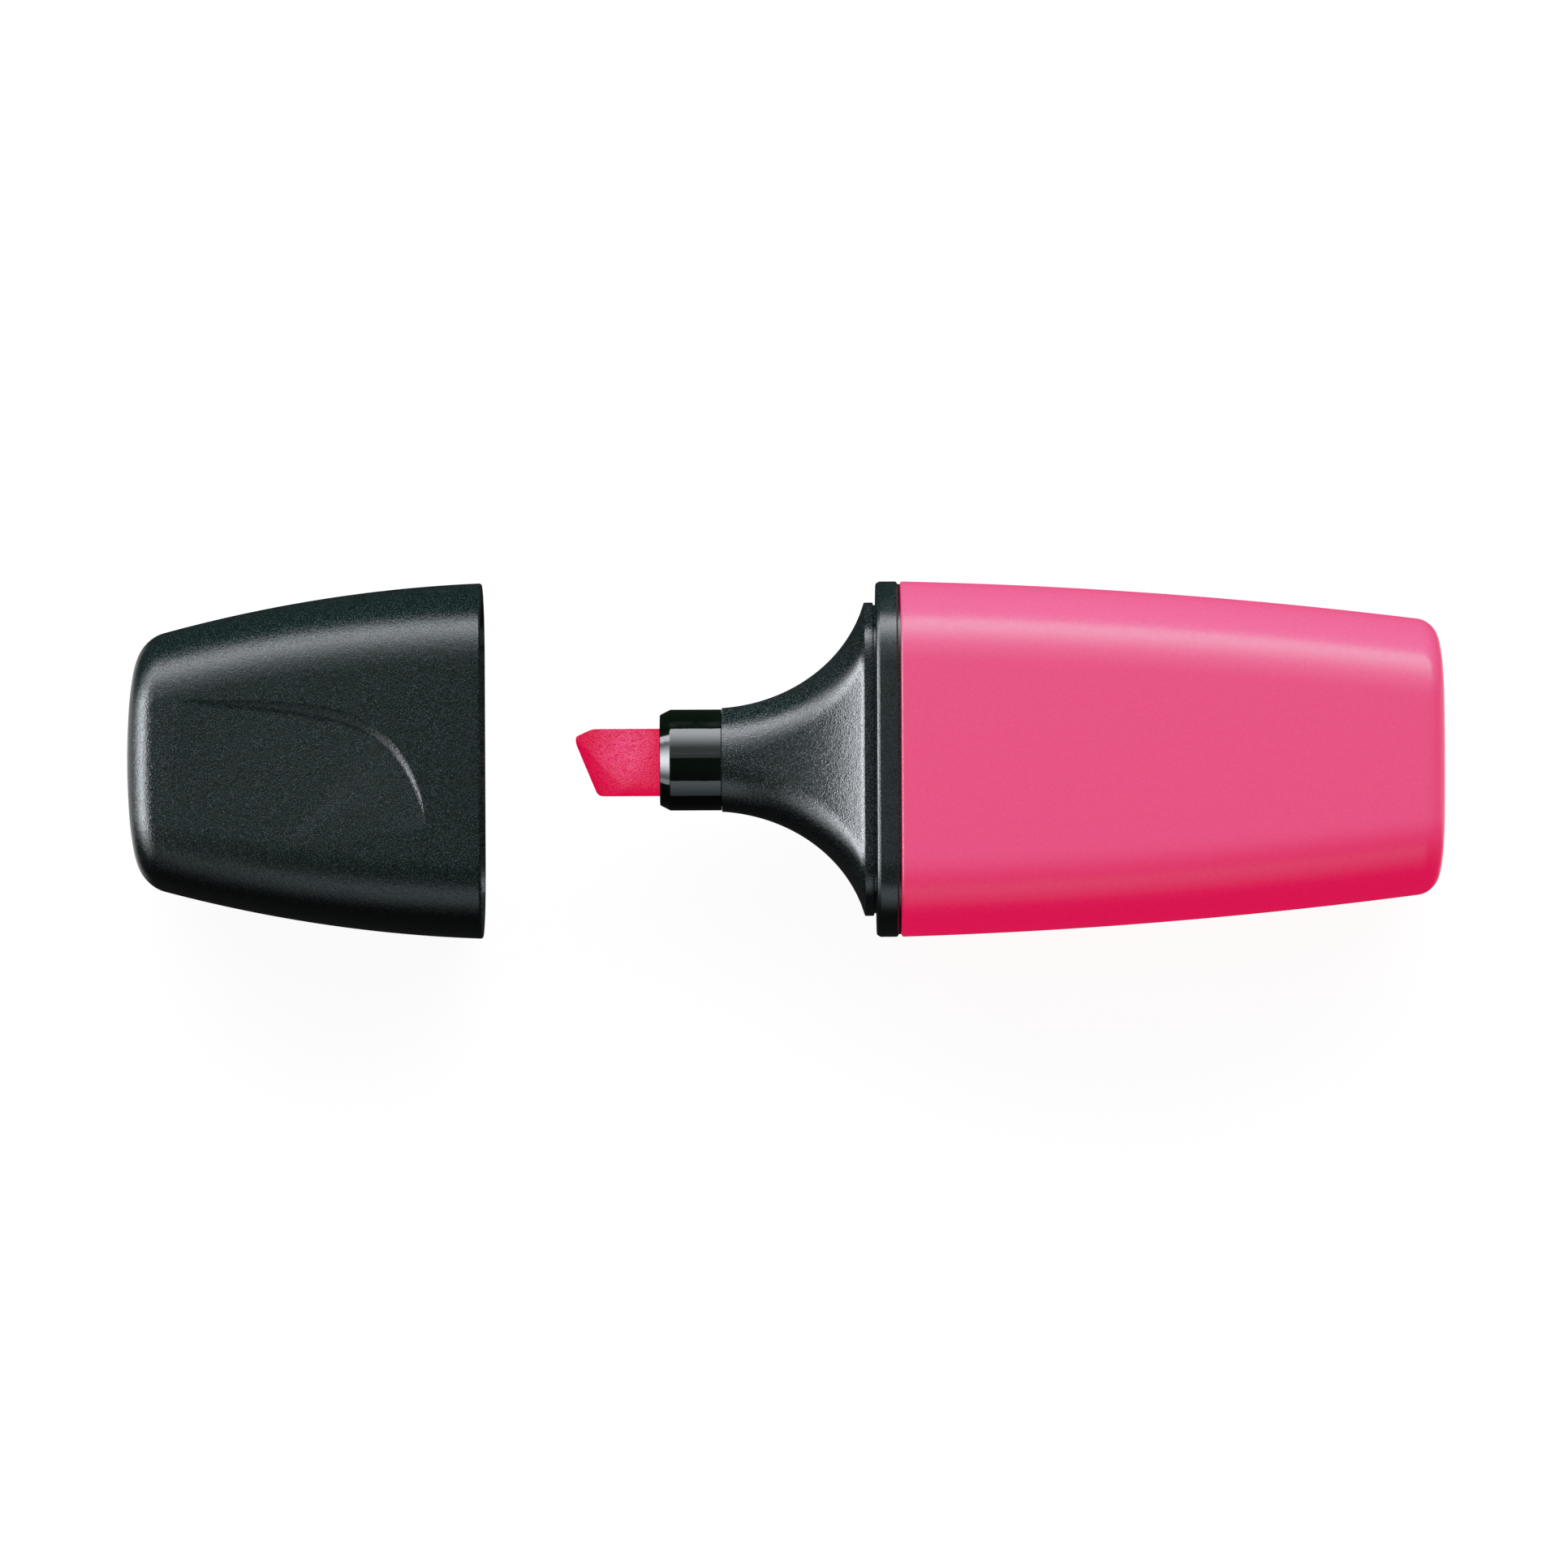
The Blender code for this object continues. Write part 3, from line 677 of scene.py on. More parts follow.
wet_felt = make_felt(
    # glow: the nib's painted glow
    "wet_pink_felt", FELT_PIT_SHADE, FELT_CREST_HIGHLIGHT, grain_mm=0.17, depth_mm=0.045, roughness=0.4, glow=0.66
)
ink_fibre = make_felt("inked_fibre", FIBRE_PIT_SHADE, FIBRE_CREST_HIGHLIGHT, grain_mm=0.4, depth_mm=0.05, roughness=0.7)

# %% [markdown]
# ## Loops and skins
#
# Every moulded piece of the pen is a rounded rectangle or a circle that changes along the axis. The
# narrow sides of the rectangle are bowed, which the photo shows by how far in from the edge the
# highlights lie. Modelling it by hand would mean a stack of loops that are bridged. The same is done
# here in code: a ray is sent out at even angles to where it meets the section, so a circle and a
# rectangle get points that match one to one, and neighbouring loops are joined by quads.

# %% Sections
LOOP_POINTS = 192
STRAIGHT = 1000.0 * MM


def section(half_width, half_thickness, corner, side=STRAIGHT):
    """Half sizes of a rounded rectangle, the radius of its corners and that of its bowed sides."""
    return (half_width, half_thickness, corner, side)


def disc(radius):
    """A circle, as a section."""
    return (radius, radius, radius, radius)


def inset(shape, amount):
    """A section that is drawn in all round."""
    return tuple(max(size - amount, HAIR_GAP) for size in shape)


def ray_to_arc(c, s, middle_y, middle_z, radius):
    """Distance along a ray from the axis to the far side of a circle."""
    along = c * middle_y + s * middle_z
    return along + math.sqrt(max(along**2 - middle_y**2 - middle_z**2 + radius**2, 0.0))


def section_reach(shape, angle):
    """Distance from the axis to the edge of a section, at an angle."""
    half_width, half_thickness, corner, side = shape
    c, s = abs(math.cos(angle)), abs(math.sin(angle))
    side_y = half_width - side
    corner_z = half_thickness - corner
    corner_y = side_y + math.sqrt(max((side - corner) ** 2 - corner_z**2, 0.0))
    side_end_z = corner_z * side / max(side - corner, HAIR_GAP)
    reach = ray_to_arc(c, s, side_y, 0.0, side)
    if reach * s <= side_end_z:
        return reach
    if half_thickness * c <= corner_y * s:
        return half_thickness / s
    return ray_to_arc(c, s, corner_y, corner_z, corner)


print(f"{LOOP_POINTS} points in each loop")

# %% Loops
LOOP_ANGLES = [2 * math.pi * (k + 0.5) / LOOP_POINTS for k in range(LOOP_POINTS)]


def edge_point(shape, angle, x):
    reach = section_reach(shape, angle)
    return Vector((x, reach * math.cos(angle), AXIS_Z + reach * math.sin(angle)))


def loop(shape, x):
    return [edge_point(shape, angle, x) for angle in LOOP_ANGLES]


def spread(first, last, count):
    return [first + (last - first) * k / count for k in range(count + 1)]


# %% Rounded ends


def rounded_end(section_at, end, radius, inward, steps=6):
    """Loops of an edge that is rounded over at end. inward is +1 or -1 along X, into the piece."""
    loops = []
    for turn in spread(0.0, math.pi / 2, steps):
        x = end + inward * radius * (1 - math.sin(turn))
        loops.append(loop(inset(section_at(x), radius * (1 - math.cos(turn))), x))
    return loops


def bowed_end(section_at, end, radius, bow, inward, steps=14, rings=8, last=0.08):
    """Loops of a closed end: an edge that is rounded over, and a face that is bowed in plan."""
    flat = inset(section_at(end), radius)
    backs = [bow * edge_point(flat, angle, end).y ** 2 for angle in LOOP_ANGLES]
    loops = []
    for turn in spread(0.0, math.pi / 2, steps):
        over = radius * (1 - math.cos(turn))
        places = [end + inward * (back + radius * (1 - math.sin(turn))) for back in backs]
        sections = [inset(section_at(x), over) for x in places]
        loops.append([edge_point(*point) for point in zip(sections, LOOP_ANGLES, places)])
    rim = loops[-1]
    for factor in spread(1.0, last, rings)[1:]:
        points = [Vector((end, p.y * factor, AXIS_Z + (p.z - AXIS_Z) * factor)) for p in rim]
        loops.append([point + Vector((inward * bow * point.y**2, 0.0, 0.0)) for point in points])
    return loops


# %% Skins and pieces


def skin(loops, closed=False):
    """A closed skin through the loops. With closed, the last loop runs back into the first."""
    shape = bmesh.new()
    rows = [[shape.verts.new(point) for point in points] for points in loops]
    pairs = list(zip(rows, rows[1:]))
    if closed:
        pairs.append((rows[-1], rows[0]))
    else:
        shape.faces.new(rows[0])
        shape.faces.new(rows[-1])
    for near, far in pairs:
        for k in range(len(near)):
            shape.faces.new((near[k - 1], near[k], far[k], far[k - 1]))
    bmesh.ops.recalc_face_normals(shape, faces=shape.faces[:])
    return shape


def add_piece(name, shape, body, node, material, sharp=40):
    """Turns a bmesh into a piece that rides on a body and stands for a CAD node."""
    mesh = bpy.data.meshes.new(name)
    shape.to_mesh(mesh)
    shape.free()
    mesh.materials.append(material)
    mesh.shade_smooth()
    mesh.set_sharp_from_angle(angle=math.radians(sharp))
    piece = bpy.data.objects.new(name, mesh)
    bpy.context.scene.collection.objects.link(piece)
    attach(piece, body)
    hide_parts(node)
    print(f"{name}: {len(mesh.polygons)} faces for {node} on {body}")
    return piece


# %% [markdown]
# ## Barrel
#
# The barrel is a flat tube with a closed tail. Its narrow sides draw in towards the tail in a gentle
# arc. The tail has a rounded edge and a face that is bowed a little from side to side, so its loops
# aren't flat: each point is set back by the bow at its own place.

# %% Make the barrel
EDGE_RADIUS = 4.9 * MM
SIDE_BOW = 11.4 * MM
BARREL_WALL = 1.4 * MM
BARREL_END_WALL = 1.6 * MM
BARREL_DRAFT = math.tan(math.radians(1.48))
BARREL_ARC = 390.0 * MM
BARREL_END_RADIUS = 1.6 * MM
BARREL_END_BOW = 0.0019 / MM
MOUTH_RADIUS = 0.2 * MM
GROOVE_WIDTH = 0.12 * MM
BARREL_RINGS = 30
BORE_RINGS = 12
BODY = section(BODY_HALF_WIDTH, BODY_HALF_THICKNESS, EDGE_RADIUS, SIDE_BOW)


def draw_in(distance, draft, radius):
    """How far a side has drawn in at a distance from the mouth, by its draft and its arc."""
    return distance * draft + distance**2 / (2 * radius)


def barrel_section(x):
    drawn = draw_in(x - BARREL_MOUTH, BARREL_DRAFT, BARREL_ARC)
    return section(BODY_HALF_WIDTH - drawn, BODY_HALF_THICKNESS, EDGE_RADIUS, SIDE_BOW)


def barrel_bore(x):
    return inset(barrel_section(x), BARREL_WALL)


def make_barrel():
    cavity_end = BARREL_TAIL - BARREL_END_WALL
    side_end = BARREL_TAIL - BARREL_END_RADIUS - BARREL_END_BOW * BODY_HALF_WIDTH**2
    mouth_end = BARREL_MOUTH + GROOVE_WIDTH
    side = spread(mouth_end + MOUTH_RADIUS, side_end, BARREL_RINGS)[1:]
    loops = [loop(barrel_bore(x), x) for x in spread(cavity_end, mouth_end, BORE_RINGS)]
    loops += rounded_end(barrel_section, mouth_end, MOUTH_RADIUS, +1)[::-1]
    loops += [loop(barrel_section(x), x) for x in side]
    loops += bowed_end(barrel_section, BARREL_TAIL, BARREL_END_RADIUS, BARREL_END_BOW, -1)
    return add_piece("barrel", skin(loops), "pen", "barrel_shell", neon_pink)


make_barrel()

# %% [markdown]
# ## Collar
#
# The collar is the black ring that the cap butts against. Its front edge is softly rounded and its
# rear edge chamfered, which leaves a fine V-groove against the barrel. A land in the bottom of the
# groove closes it, and behind that the skirt plugs the barrel.

# %% Make the collar
COLLAR_FRONT_PROFILE = ((0.26, 0.0), (0.17, 0.03), (0.11, 0.09), (0.105, 0.1), (0.005, 0.29), (0.0, 0.31))
COLLAR_REAR_CHAMFER = 0.12 * MM
COLLAR_END = BARREL_MOUTH - 0.1 * MM
COLLAR_LAND_INSET = 0.2 * MM
COLLAR_BORE = 4.75 * MM


def make_collar():
    land = inset(BODY, COLLAR_LAND_INSET)
    land_end = BARREL_MOUTH + GROOVE_WIDTH - HAIR_GAP
    loops = [loop(inset(BODY, deep * MM), SEAT + back * MM) for deep, back in COLLAR_FRONT_PROFILE]
    loops += [
        loop(BODY, COLLAR_END - COLLAR_REAR_CHAMFER),
        loop(inset(BODY, COLLAR_REAR_CHAMFER), COLLAR_END),
        loop(land, COLLAR_END),
        loop(land, land_end),
        loop(inset(barrel_bore(land_end), FIT_GAP), land_end),
        loop(inset(barrel_bore(SKIRT_END), FIT_GAP), SKIRT_END),
        loop(disc(COLLAR_BORE), SKIRT_END),
        loop(disc(COLLAR_BORE), SEAT),
    ]
    return add_piece("collar_ring", skin(loops, closed=True), "pen", "collar", black_collar)


make_collar()

# %% [markdown]
# ## Nose
#
# The nose flares like a trumpet from a round tip to the plate that fits the mouth of the cap. A low
# boss behind the plate meets the collar and leaves a dark shadow line between the two.

# %% Make the nose
PLATE = inset(BODY, BODY_HALF_WIDTH - PLATE_HALF_WIDTH)
PLATE_REAR = SEAT - 0.18 * MM
PLATE_FRONT = PLATE_REAR - 0.68 * MM
PLATE_EDGE = 0.1 * MM
BOSS_INSET = 0.2 * MM
NOSE_TIP = 3.92 * MM
NOSE_BORE = 3.75 * MM
NECK_RADIUS = 4.45 * MM
FLARE_START = NOSE_FRONT - 0.83 * MM
FLARE_REACH_ACROSS = 12.0 * MM
FLARE_REACH_UP = 18.0 * MM
RIM_CHAMFER_LONG = 0.04 * MM
RIM_CHAMFER_DEEP = 0.06 * MM
RIM = inset(PLATE, RIM_CHAMFER_DEEP)
FLARE_END = PLATE_FRONT - RIM_CHAMFER_LONG
FLARE_RINGS = 36


def flare_share(x, reach):
    """How far the flare has risen at x, from 0 to 1, along an ellipse whose half length is reach."""
    def rise(length):
        return 1 - math.sqrt(1 - (length / reach) ** 2)

    return rise(x - FLARE_START) / rise(FLARE_END - FLARE_START)


def flare_section(x):
    share = (x - NOSE_FRONT) / (FLARE_END - NOSE_FRONT)
    wide = NOSE_TIP + flare_share(x, FLARE_REACH_ACROSS) * (RIM[0] - NOSE_TIP)
    thick = NOSE_TIP + flare_share(x, FLARE_REACH_UP) * (RIM[1] - NOSE_TIP)
    corner, side = (NOSE_TIP + share * (radius - NOSE_TIP) for radius in RIM[2:])
    return section(wide, thick, corner, side)


def make_nose():
    boss = inset(PLATE, BOSS_INSET)
    loops = [loop(disc(NOSE_BORE), NOSE_FRONT)]
    loops += [loop(flare_section(x), x) for x in spread(NOSE_FRONT, FLARE_END, FLARE_RINGS)]
    loops += [loop(PLATE, PLATE_FRONT), loop(PLATE, PLATE_FRONT + 2 * HAIR_GAP)]
    loops += rounded_end(lambda x: PLATE, PLATE_REAR, PLATE_EDGE, -1, steps=3)
    loops += [
        loop(boss, PLATE_REAR),
        loop(boss, SEAT - HAIR_GAP),
        loop(disc(NECK_RADIUS), SEAT - HAIR_GAP),
        loop(disc(NECK_RADIUS), NECK_END),
        loop(disc(NOSE_BORE), NECK_END),
    ]
    return add_piece("nose_flare", skin(loops, closed=True), "pen", "nose", black_nose)


make_nose()

# %% [markdown]
# ## Nib tube
#
# A polished tube sits in the nose and grips the nib. Its front edge is chamfered, and each of its
# edges has a hair of rounding, because a perfectly sharp edge never shows a highlight.

# %% Make the nib tube
TUBE_SHOULDER = NOSE_FRONT - HAIR_GAP
TUBE_CHAMFER_LONG = 0.8 * MM
TUBE_CHAMFER_DEEP = 0.41 * MM
TUBE_EDGE_ROUNDING = 0.05 * MM
TUBE_SHARP = 20
SPIGOT_RADIUS = 3.45 * MM
NIB_TIP_CORNER = 0.9 * MM
NIB_ROD_CORNER = 1.8 * MM
NIB_BLEND_START = TUBE_FRONT + 0.5 * MM
NIB_BLEND_END = TUBE_FRONT + 2.0 * MM


def nib_section(x):
    """Squarish at the tip, rounder where the tube squeezes the rod."""
    share = min(max((x - NIB_BLEND_START) / (NIB_BLEND_END - NIB_BLEND_START), 0.0), 1.0)
    corner = NIB_TIP_CORNER + share * (NIB_ROD_CORNER - NIB_TIP_CORNER)
    return section(NIB_HALF_WIDTH, NIB_HALF_THICKNESS, corner)


def tube_passage(x):
    return inset(nib_section(x), -FIT_GAP)


def make_tube():
    chamfer_end = TUBE_FRONT + TUBE_CHAMFER_LONG
    loops = [loop(tube_passage(x), x) for x in (NIB_BLEND_END, NIB_BLEND_START, TUBE_FRONT)]
    loops += [
        loop(disc(TUBE_RADIUS - TUBE_CHAMFER_DEEP), TUBE_FRONT),
        loop(disc(TUBE_RADIUS), chamfer_end),
        loop(disc(TUBE_RADIUS), TUBE_SHOULDER),
        loop(disc(SPIGOT_RADIUS), TUBE_SHOULDER),
        loop(disc(SPIGOT_RADIUS), SPIGOT_END),
        loop(tube_passage(SPIGOT_END), SPIGOT_END),
    ]
    shape = skin(loops, closed=True)
    piece = add_piece("nib_holder", shape, "pen", "nib_tube", black_tube, sharp=TUBE_SHARP)
    rounding = piece.modifiers.new("edge_rounding", "BEVEL")
    rounding.width = TUBE_EDGE_ROUNDING
    rounding.segments = 2
    rounding.limit_method = "ANGLE"
    rounding.angle_limit = math.radians(TUBE_SHARP)
    return piece


make_tube()

# %% [markdown]
# ## Felt nib
#
# The nib is a rod of felt cut to a slanted chisel. The rod is skinned like the other pieces and then
# sliced by planes, as a knife would do it: two wedge faces, the slant of the tip, its two rubbed edges
# and the worn top corner. Cut felt isn't crisp, so the edges are bevelled, the tip is split into fine
# triangles and smoothed, and noise pushes it in by a few hundredths of a millimetre. Each cut leaves a
# few facets without area, which are taken out before every split, so that the mesh stays closed.

# %% Cut the nib
NIB_SLANT = math.radians(22.7)
NIB_SLANT_POINT = Vector((-0.1, 1.69, 0.0)) * MM
NIB_WORN_POINT = Vector((0.05, 2.02, 0.0)) * MM
NIB_WORN_TURN = math.radians(66)
NIB_WEDGE = math.atan(0.22)
NIB_WEDGE_ROLL = math.atan(0.145)
NIB_TIP_HALF = 1.01 * MM
NIB_EDGE_TURN = math.radians(35)
NIB_EDGE_HALF = 0.65 * MM
NIB_SHIFT = Vector((0.0, -0.17, 0.0)) * MM
NIB_RINGS = 24


def slice_off(shape, point, normal):
    """Cuts away what lies beyond a plane, and closes the cut."""
    geometry = shape.verts[:] + shape.edges[:] + shape.faces[:]
    cut = bmesh.ops.bisect_plane(shape, geom=geometry, plane_co=point, plane_no=normal, clear_outer=True)
    rim = [part for part in cut["geom_cut"] if isinstance(part, bmesh.types.BMEdge)]
    bmesh.ops.contextual_create(shape, geom=rim)


def cut_nib():
    shape = skin([loop(nib_section(x), x) for x in spread(NIB_TIP, NIB_TAIL, NIB_RINGS)])
    middle = Vector((NIB_TIP, 0.0, AXIS_Z))
    for side in (1, -1):
        wedge = Vector((-math.tan(NIB_WEDGE), math.tan(NIB_WEDGE_ROLL), side))
        slice_off(shape, middle + Vector((0.0, 0.0, side * NIB_TIP_HALF)), wedge)
    slant = Vector((-math.cos(NIB_SLANT), -math.sin(NIB_SLANT), 0.0))
    slice_off(shape, middle + NIB_SLANT_POINT, slant)
    for side in (1, -1):
        edge = middle + NIB_SLANT_POINT + Vector((0.0, 0.0, side * NIB_EDGE_HALF))
        rubbed = slant * math.sin(NIB_EDGE_TURN) + Vector((0.0, 0.0, side * math.cos(NIB_EDGE_TURN)))
        slice_off(shape, edge, rubbed)
    worn = Vector((-math.cos(NIB_WORN_TURN), math.sin(NIB_WORN_TURN), 0.0))
    slice_off(shape, middle + NIB_WORN_POINT, worn)
    bmesh.ops.translate(shape, verts=shape.verts[:], vec=NIB_SHIFT)
    return shape


# %% Roughen the felt
CUT_EDGE_ANGLE = math.radians(30)
NIB_EDGE_ROUNDING = 0.22 * MM
FELT_FACET = 0.16 * MM
FELT_MERGE = 0.01 * MM
FELT_GRAIN = 0.16 * MM
FELT_DEPTH = 0.025 * MM
FELT_END = TUBE_FRONT + 0.4 * MM
FELT_ROUNDS = 6
FELT_SMOOTHING = 10


def round_cut_edges(shape):
    sharp = [edge for edge in shape.edges if edge.is_manifold and edge.calc_face_angle() > CUT_EDGE_ANGLE]
    bmesh.ops.bevel(
        shape, geom=sharp, offset=NIB_EDGE_ROUNDING, segments=3, profile=0.5,
        affect="EDGES", clamp_overlap=True,
    )


def leave_triangles(shape):
    bmesh.ops.triangulate(shape, faces=[face for face in shape.faces if len(face.verts) > 3])


def clean_facets(shape):
    """Takes out facets without area, and leaves triangles only."""
    bmesh.ops.dissolve_degenerate(shape, edges=shape.edges[:], dist=FELT_MERGE)
    leave_triangles(shape)


def split_felt(shape):
    """Splits the tip into fine triangles."""
    bmesh.ops.remove_doubles(shape, verts=shape.verts[:], dist=FELT_MERGE)
    bmesh.ops.triangulate(shape, faces=shape.faces[:])
    for _ in range(FELT_ROUNDS):
        clean_facets(shape)
        tip = [edge for edge in shape.edges if min(vert.co.x for vert in edge.verts) < FELT_END]
        long = [edge for edge in tip if edge.calc_length() > FELT_FACET]
        if not long:
            break
        bmesh.ops.subdivide_edges(shape, edges=long, cuts=1)
        leave_triangles(shape)
    clean_facets(shape)


def tip_verts(shape):
    return [vert for vert in shape.verts if vert.co.x < FELT_END]


def roughen_felt(shape):
    """Smooths the tip, and pushes it in by the grain of the felt."""
    for _ in range(FELT_SMOOTHING):
        bmesh.ops.smooth_vert(
            shape, verts=tip_verts(shape), factor=0.5, use_axis_x=True, use_axis_y=True, use_axis_z=True
        )
    shape.normal_update()
    for vert in tip_verts(shape):
        push = noise.noise(vert.co / FELT_GRAIN) - 1.0
        vert.co += vert.normal * push * FELT_DEPTH


# %% Make the nib


def make_nib():
    shape = cut_nib()
    round_cut_edges(shape)
    split_felt(shape)
    roughen_felt(shape)
    return add_piece("felt_nib", shape, "pen", "chisel_nib", wet_felt, sharp=80)


make_nib()

# %% [markdown]
# ## Cap
#
# The cap closes over the nose and butts against the collar. It tapers towards a softly domed end, and
# a crescent is pressed into each broad face, so that the thumb finds a hold. A Boolean cut would leave
# long thin triangles round the crescent, which shade badly. Instead the faces near the line are split
# a few times, and the points inside are pressed down: a floor that sinks towards the line, and a
# sloping wall that comes back up to it. The wall is flatter along the first half of the line, which
# stays dark, than along the second, which catches the light.

# %% Crescent
SCOOP_KNOTS = ((22.65, 4.87), (14.0, 4.23), (5.27, 6.17), (3.9, -4.97))
SCOOP_DEPTH = 0.42 * MM
SCOOP_FADE = 10.5 * MM
SCOOP_FADE_BLEND = 0.3
SCOOP_END_POWER = 0.8
SCOOP_SKEW = 1.2
SCOOP_WALL_PLACES = (0.45, 0.62)
SCOOP_WALL_SLOPES = (math.tan(math.radians(25)), math.tan(math.radians(31)))
SCOOP_LIP = 0.2 * MM
SCOOP_FOOT = 0.1 * MM
SCOOP_SAMPLES = 160

knots = [Vector((CAP_MOUTH - away * MM, across * MM)) for away, across in SCOOP_KNOTS]
CRESCENT = np.array(interpolate_bezier(*knots, SCOOP_SAMPLES))[:, :2]
CHORD = (CRESCENT[-1] - CRESCENT[0]) / np.linalg.norm(CRESCENT[-1] - CRESCENT[0])
CHORD_OUT = np.array((-CHORD[1], CHORD[0]))
BULGE = (CRESCENT - CRESCENT[0]) @ CHORD_OUT


def crescent_place(points):
    """Distance of each point from the crescent line, and its place along the line from 0 to 1."""
    start, step = CRESCENT[:-1], np.diff(CRESCENT, axis=0)
    offset = points[:, None, :] - start[None]
    share = np.clip((offset * step).sum(2) / (step**2).sum(1), 0.0, 1.0)
    distance = np.linalg.norm(offset - share[..., None] * step, axis=2)
    nearest = distance.argmin(1)
    rows = np.arange(len(points))
    return distance[rows, nearest], (nearest + share[rows, nearest]) / len(step)


def smooth_least(first, second, blend):
    """The lesser of two heights, rounded where they cross."""
    share = np.clip(0.5 + 0.5 * (second - first) / blend, 0.0, 1.0)
    return second + (first - second) * share - blend * share * (1 - share)


def scoop_depth(points):
    """Depth of the scoop at points in the face: a floor that fades out, and a wall up to the line."""
    along = (points - CRESCENT[0]) @ CHORD
    line_along = (CRESCENT - CRESCENT[0]) @ CHORD
    inward = np.interp(along, line_along, BULGE) - (points - CRESCENT[0]) @ CHORD_OUT
    distance, place = crescent_place(points)
    rising = 1.0 - smooth_least(inward / SCOOP_FADE, np.ones(len(points)), SCOOP_FADE_BLEND)
    floor_depth = SCOOP_DEPTH * np.sin(math.pi * place**SCOOP_SKEW) ** SCOOP_END_POWER * rising
    wall_slope = np.interp(place, SCOOP_WALL_PLACES, SCOOP_WALL_SLOPES)
    wall_depth = wall_slope * (np.sqrt(distance**2 + SCOOP_LIP**2) - SCOOP_LIP)
    return np.where(inward > 0, np.maximum(smooth_least(wall_depth, floor_depth, SCOOP_FOOT), 0.0), 0.0)


print(f"crescent bulges {BULGE.max() / MM:.2f} mm from its chord")

# %% Press the scoop
SPLIT_REACHES = (1.8 * MM, 1.2 * MM, 0.9 * MM)
FACE_UPRIGHT = 0.6
FACE_HEIGHT = 0.8 * BODY_HALF_THICKNESS


def faces_out(normals_z, heights, side):
    """Which points lie on the outer broad face of a side, +1 above and -1 below."""
    return (normals_z * side > FACE_UPRIGHT) & ((heights - AXIS_Z) * side > FACE_HEIGHT)


def refine_near_crescent(shape, side):
    """Splits the faces near the crescent line, once for each reach."""
    for reach in SPLIT_REACHES:
        shape.faces.ensure_lookup_table()
        middles = np.array([face.calc_center_median() for face in shape.faces])
        normals = np.array([face.normal.z for face in shape.faces])
        near = crescent_place(middles[:, :2] * (1.0, side))[0] < reach
        chosen = np.flatnonzero(near & faces_out(normals, middles[:, 2], side))
        edges = {edge for k in chosen for edge in shape.faces[k].edges}
        bmesh.ops.subdivide_edges(shape, edges=list(edges), cuts=1, use_grid_fill=True)
        shape.normal_update()


def press_scoop(shape, side):
    """Moves the points of a broad face down by the depth of the scoop."""
    points = np.array([vert.co for vert in shape.verts])
    normals = np.array([vert.normal.z for vert in shape.verts])
    depth = scoop_depth(points[:, :2] * (1.0, side)) * faces_out(normals, points[:, 2], side)
    for vert, amount in zip(shape.verts, depth):
        vert.co.z -= side * amount
    print(f"scoop {depth.max() / MM:.2f} mm deep")


# %% Make the cap
CAP_WALL = 1.3 * MM
CAP_END_WALL = 1.5 * MM
CAP_DRAFT = math.tan(math.radians(2.06))
CAP_SIDE_ARC = 104.0 * MM
CAP_FACE_ARC = 290.0 * MM
CAP_FACE = CAP_END + 0.12 * MM
CAP_END_RADIUS = 2.1 * MM
CAP_END_BOW = 0.0095 / MM
SOCKET_BORE = 5.15 * MM
SOCKET_RADIUS = 5.5 * MM
SOCKET_HEIGHT = 3.0 * MM
CAP_INSIDE_RINGS = 16
CAP_SIDE_RINGS = 44


def cap_section(x):
    side = draw_in(CAP_MOUTH - x, CAP_DRAFT, CAP_SIDE_ARC)
    face = draw_in(CAP_MOUTH - x, 0.0, CAP_FACE_ARC)
    return section(BODY_HALF_WIDTH - side, BODY_HALF_THICKNESS - face, EDGE_RADIUS, SIDE_BOW)


def cap_inside():
    """Loops from the socket of the sealing cup out to the mouth."""
    cavity_end = CAP_END + CAP_END_WALL
    loops = [
        loop(disc(SOCKET_BORE), cavity_end),
        loop(disc(SOCKET_BORE), cavity_end + SOCKET_HEIGHT),
        loop(disc(SOCKET_RADIUS), cavity_end + SOCKET_HEIGHT),
        loop(disc(SOCKET_RADIUS), cavity_end),
    ]
    inside = spread(cavity_end, CAP_MOUTH, CAP_INSIDE_RINGS)
    return loops + [loop(inset(cap_section(x), CAP_WALL), x) for x in inside]


def make_cap():
    side_end = CAP_FACE + CAP_END_RADIUS + CAP_END_BOW * BODY_HALF_WIDTH**2
    loops = cap_inside()
    loops += rounded_end(cap_section, CAP_MOUTH, MOUTH_RADIUS, -1)[::-1]
    side = spread(CAP_MOUTH - MOUTH_RADIUS, side_end, CAP_SIDE_RINGS)[1:]
    loops += [loop(cap_section(x), x) for x in side]
    loops += bowed_end(cap_section, CAP_FACE, CAP_END_RADIUS, CAP_END_BOW, +1)
    shape = skin(loops)
    for face in (1, -1):
        refine_near_crescent(shape, face)
        press_scoop(shape, face)
    return add_piece("cap_outer", shape, "cap", "cap_shell", black_cap)


make_cap()

# %% [markdown]
# ## Sealing cup
#
# A soft cup in the cap closes over the nib tube, so that the nib doesn't dry out. Its lip is rounded,
# which guides the tube in.

# %% Make the sealing cup
CUP_BORE = 4.15 * MM
CUP_BASE = 1.0 * MM
CUP_LIP = 0.3 * MM


def make_cup():
    loops = [loop(disc(CUP_BORE), CUP_END + CUP_BASE), loop(disc(CUP_BORE), CUP_MOUTH)]
    loops += rounded_end(lambda x: disc(CUP_RADIUS), CUP_MOUTH, CUP_LIP, -1)[::-1]
    loops += rounded_end(lambda x: disc(CUP_RADIUS), CUP_END, CUP_LIP, +1)
    return add_piece("seal_cup", skin(loops), "cap", "sealing_cup", black_seal)


make_cup()

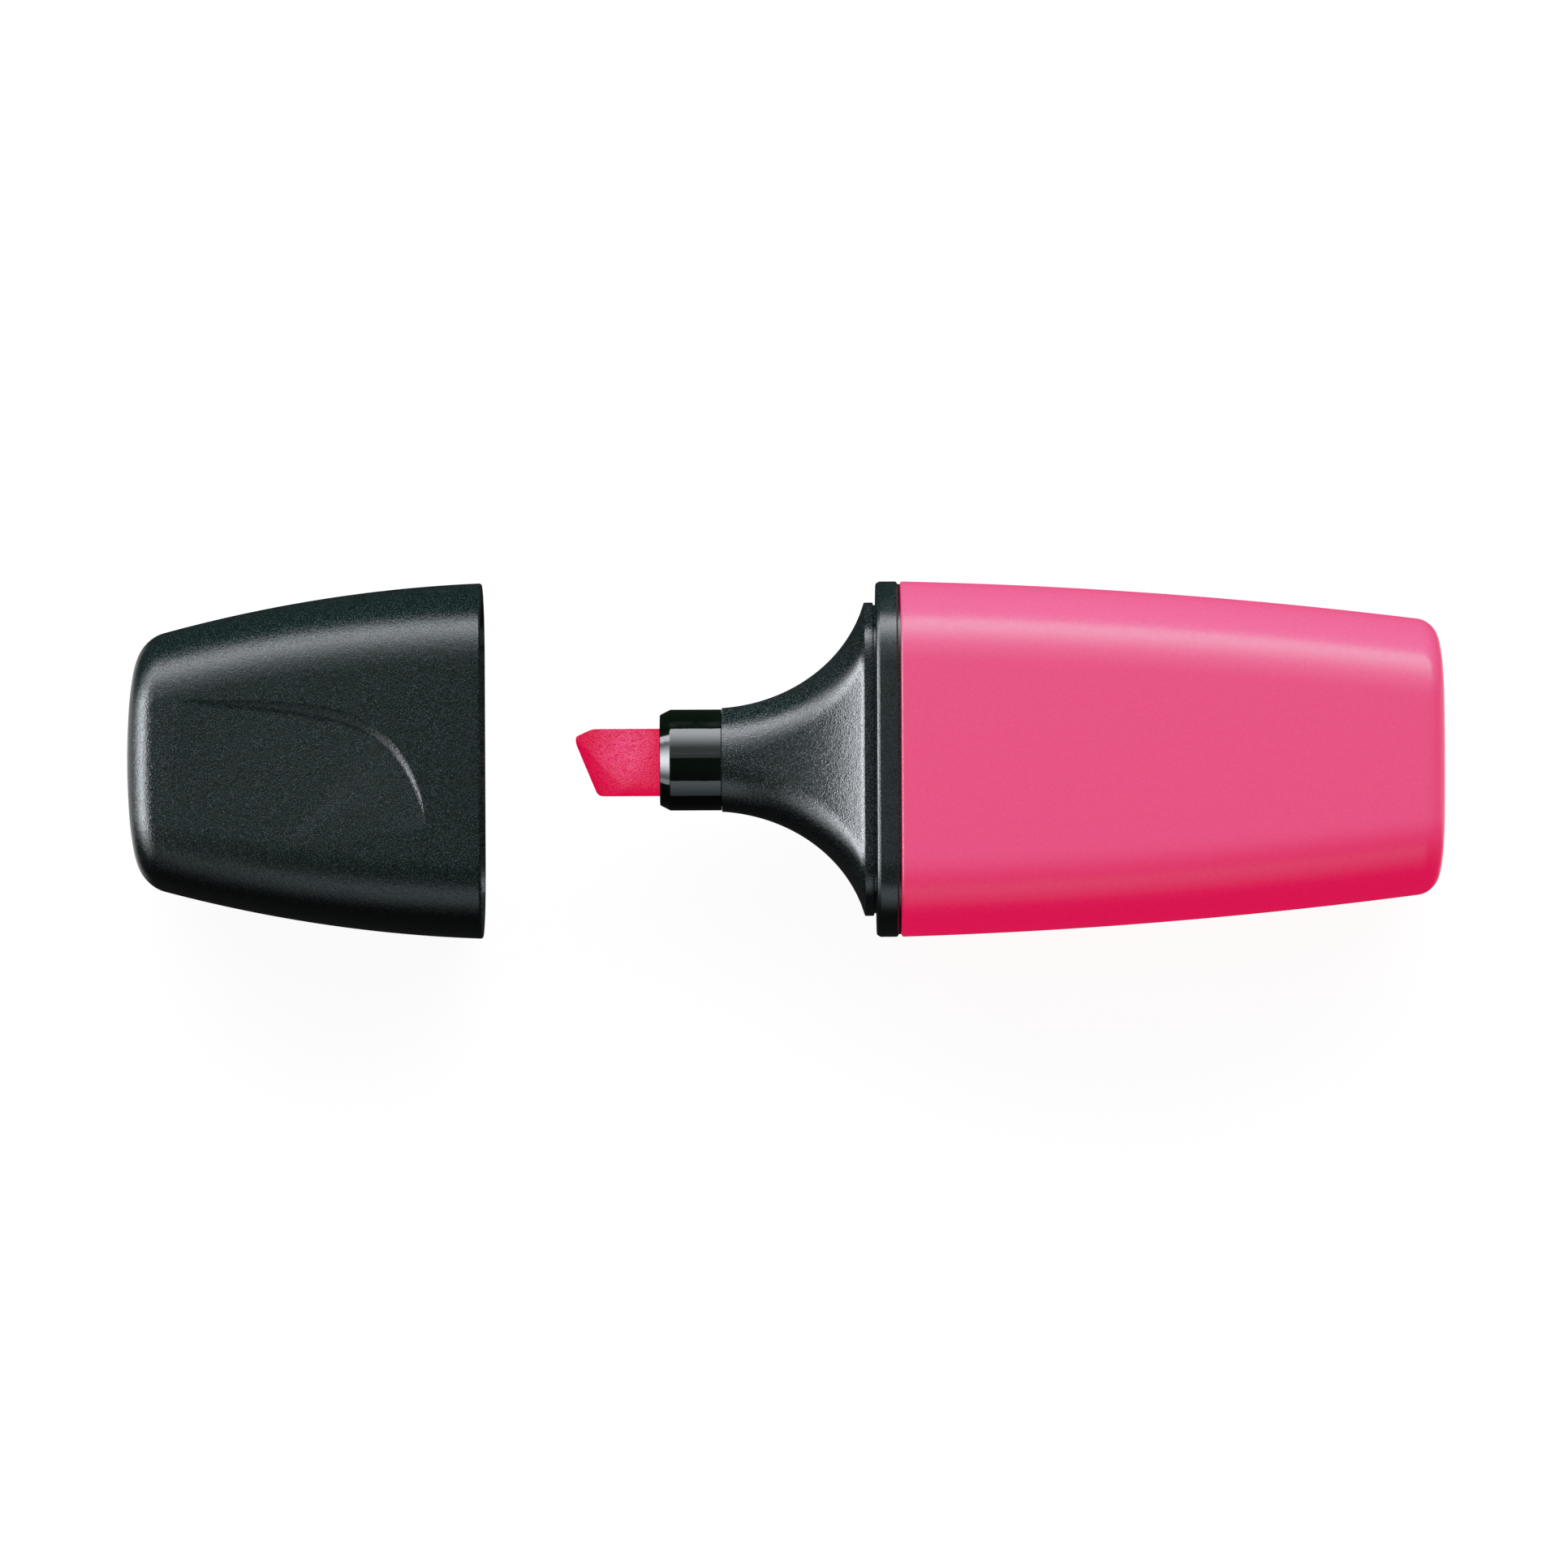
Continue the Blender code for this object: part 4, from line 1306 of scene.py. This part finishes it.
# %% [markdown]
# ## Ink core and film
#
# Inside the barrel lies the store of ink: a block of bonded fibre in a sleeve of clear film, with a
# socket in its front for the tail of the nib. Neither shows while the pen is whole. They still follow
# the bowed section of the bore, so that they fit if the pen is opened or cut through in a drawing.

# %% Make the core and the film
CORE_FRONT, CORE_REAR, _, _ = node_span("ink_core")
FILM_THICKNESS = 0.3 * MM
FILM = inset(barrel_bore(CORE_REAR), FIT_GAP)
CORE = inset(FILM, FILM_THICKNESS + FIT_GAP)
CORE_EDGE = 0.5 * MM
FILM_TINT = (0.8, 0.75, 0.76)
# paler specks painted as glints, and the colour of worn edges and dust
FILM_GLINT_AND_WEAR = (0.86, 0.83, 0.84)
FILM_CLEARNESS = 0.9

clear_film, shader = make_plastic(
    "clear_film", FILM_TINT, FILM_GLINT_AND_WEAR, FILM_GLINT_AND_WEAR,
    grain_mm=1.2, depth_mm=0.002, roughness=0.12, swing=0.06, wear=0.1,
)
shader.inputs["Transmission Weight"].default_value = FILM_CLEARNESS


def make_core():
    socket = inset(nib_section(NIB_TAIL), -FIT_GAP)
    loops = [loop(socket, NIB_TAIL + FIT_GAP), loop(socket, CORE_FRONT)]
    loops += rounded_end(lambda x: CORE, CORE_FRONT, CORE_EDGE, +1)[::-1]
    loops += rounded_end(lambda x: CORE, CORE_REAR, CORE_EDGE, -1)
    return add_piece("fibre_core", skin(loops), "pen", "ink_core", ink_fibre)


def make_film():
    inside = inset(FILM, FILM_THICKNESS)
    loops = [
        loop(FILM, CORE_FRONT),
        loop(FILM, CORE_REAR),
        loop(inside, CORE_REAR),
        loop(inside, CORE_FRONT),
    ]
    return add_piece("film_sleeve", skin(loops, closed=True), "pen", "core_wrap", clear_film)


make_core()
make_film()

# %% [markdown]
# ## Sizes
#
# The dressed pen has to stay inside the box of the CAD model. Both boxes are printed, so that they
# can be compared.

# %% Write the sizes and finish
visual_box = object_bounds()
for name, box in (("CAD box", cad_box), ("dressed box", visual_box)):
    print(name, *(tuple(round(v / MM, 2) for v in corner) for corner in box))
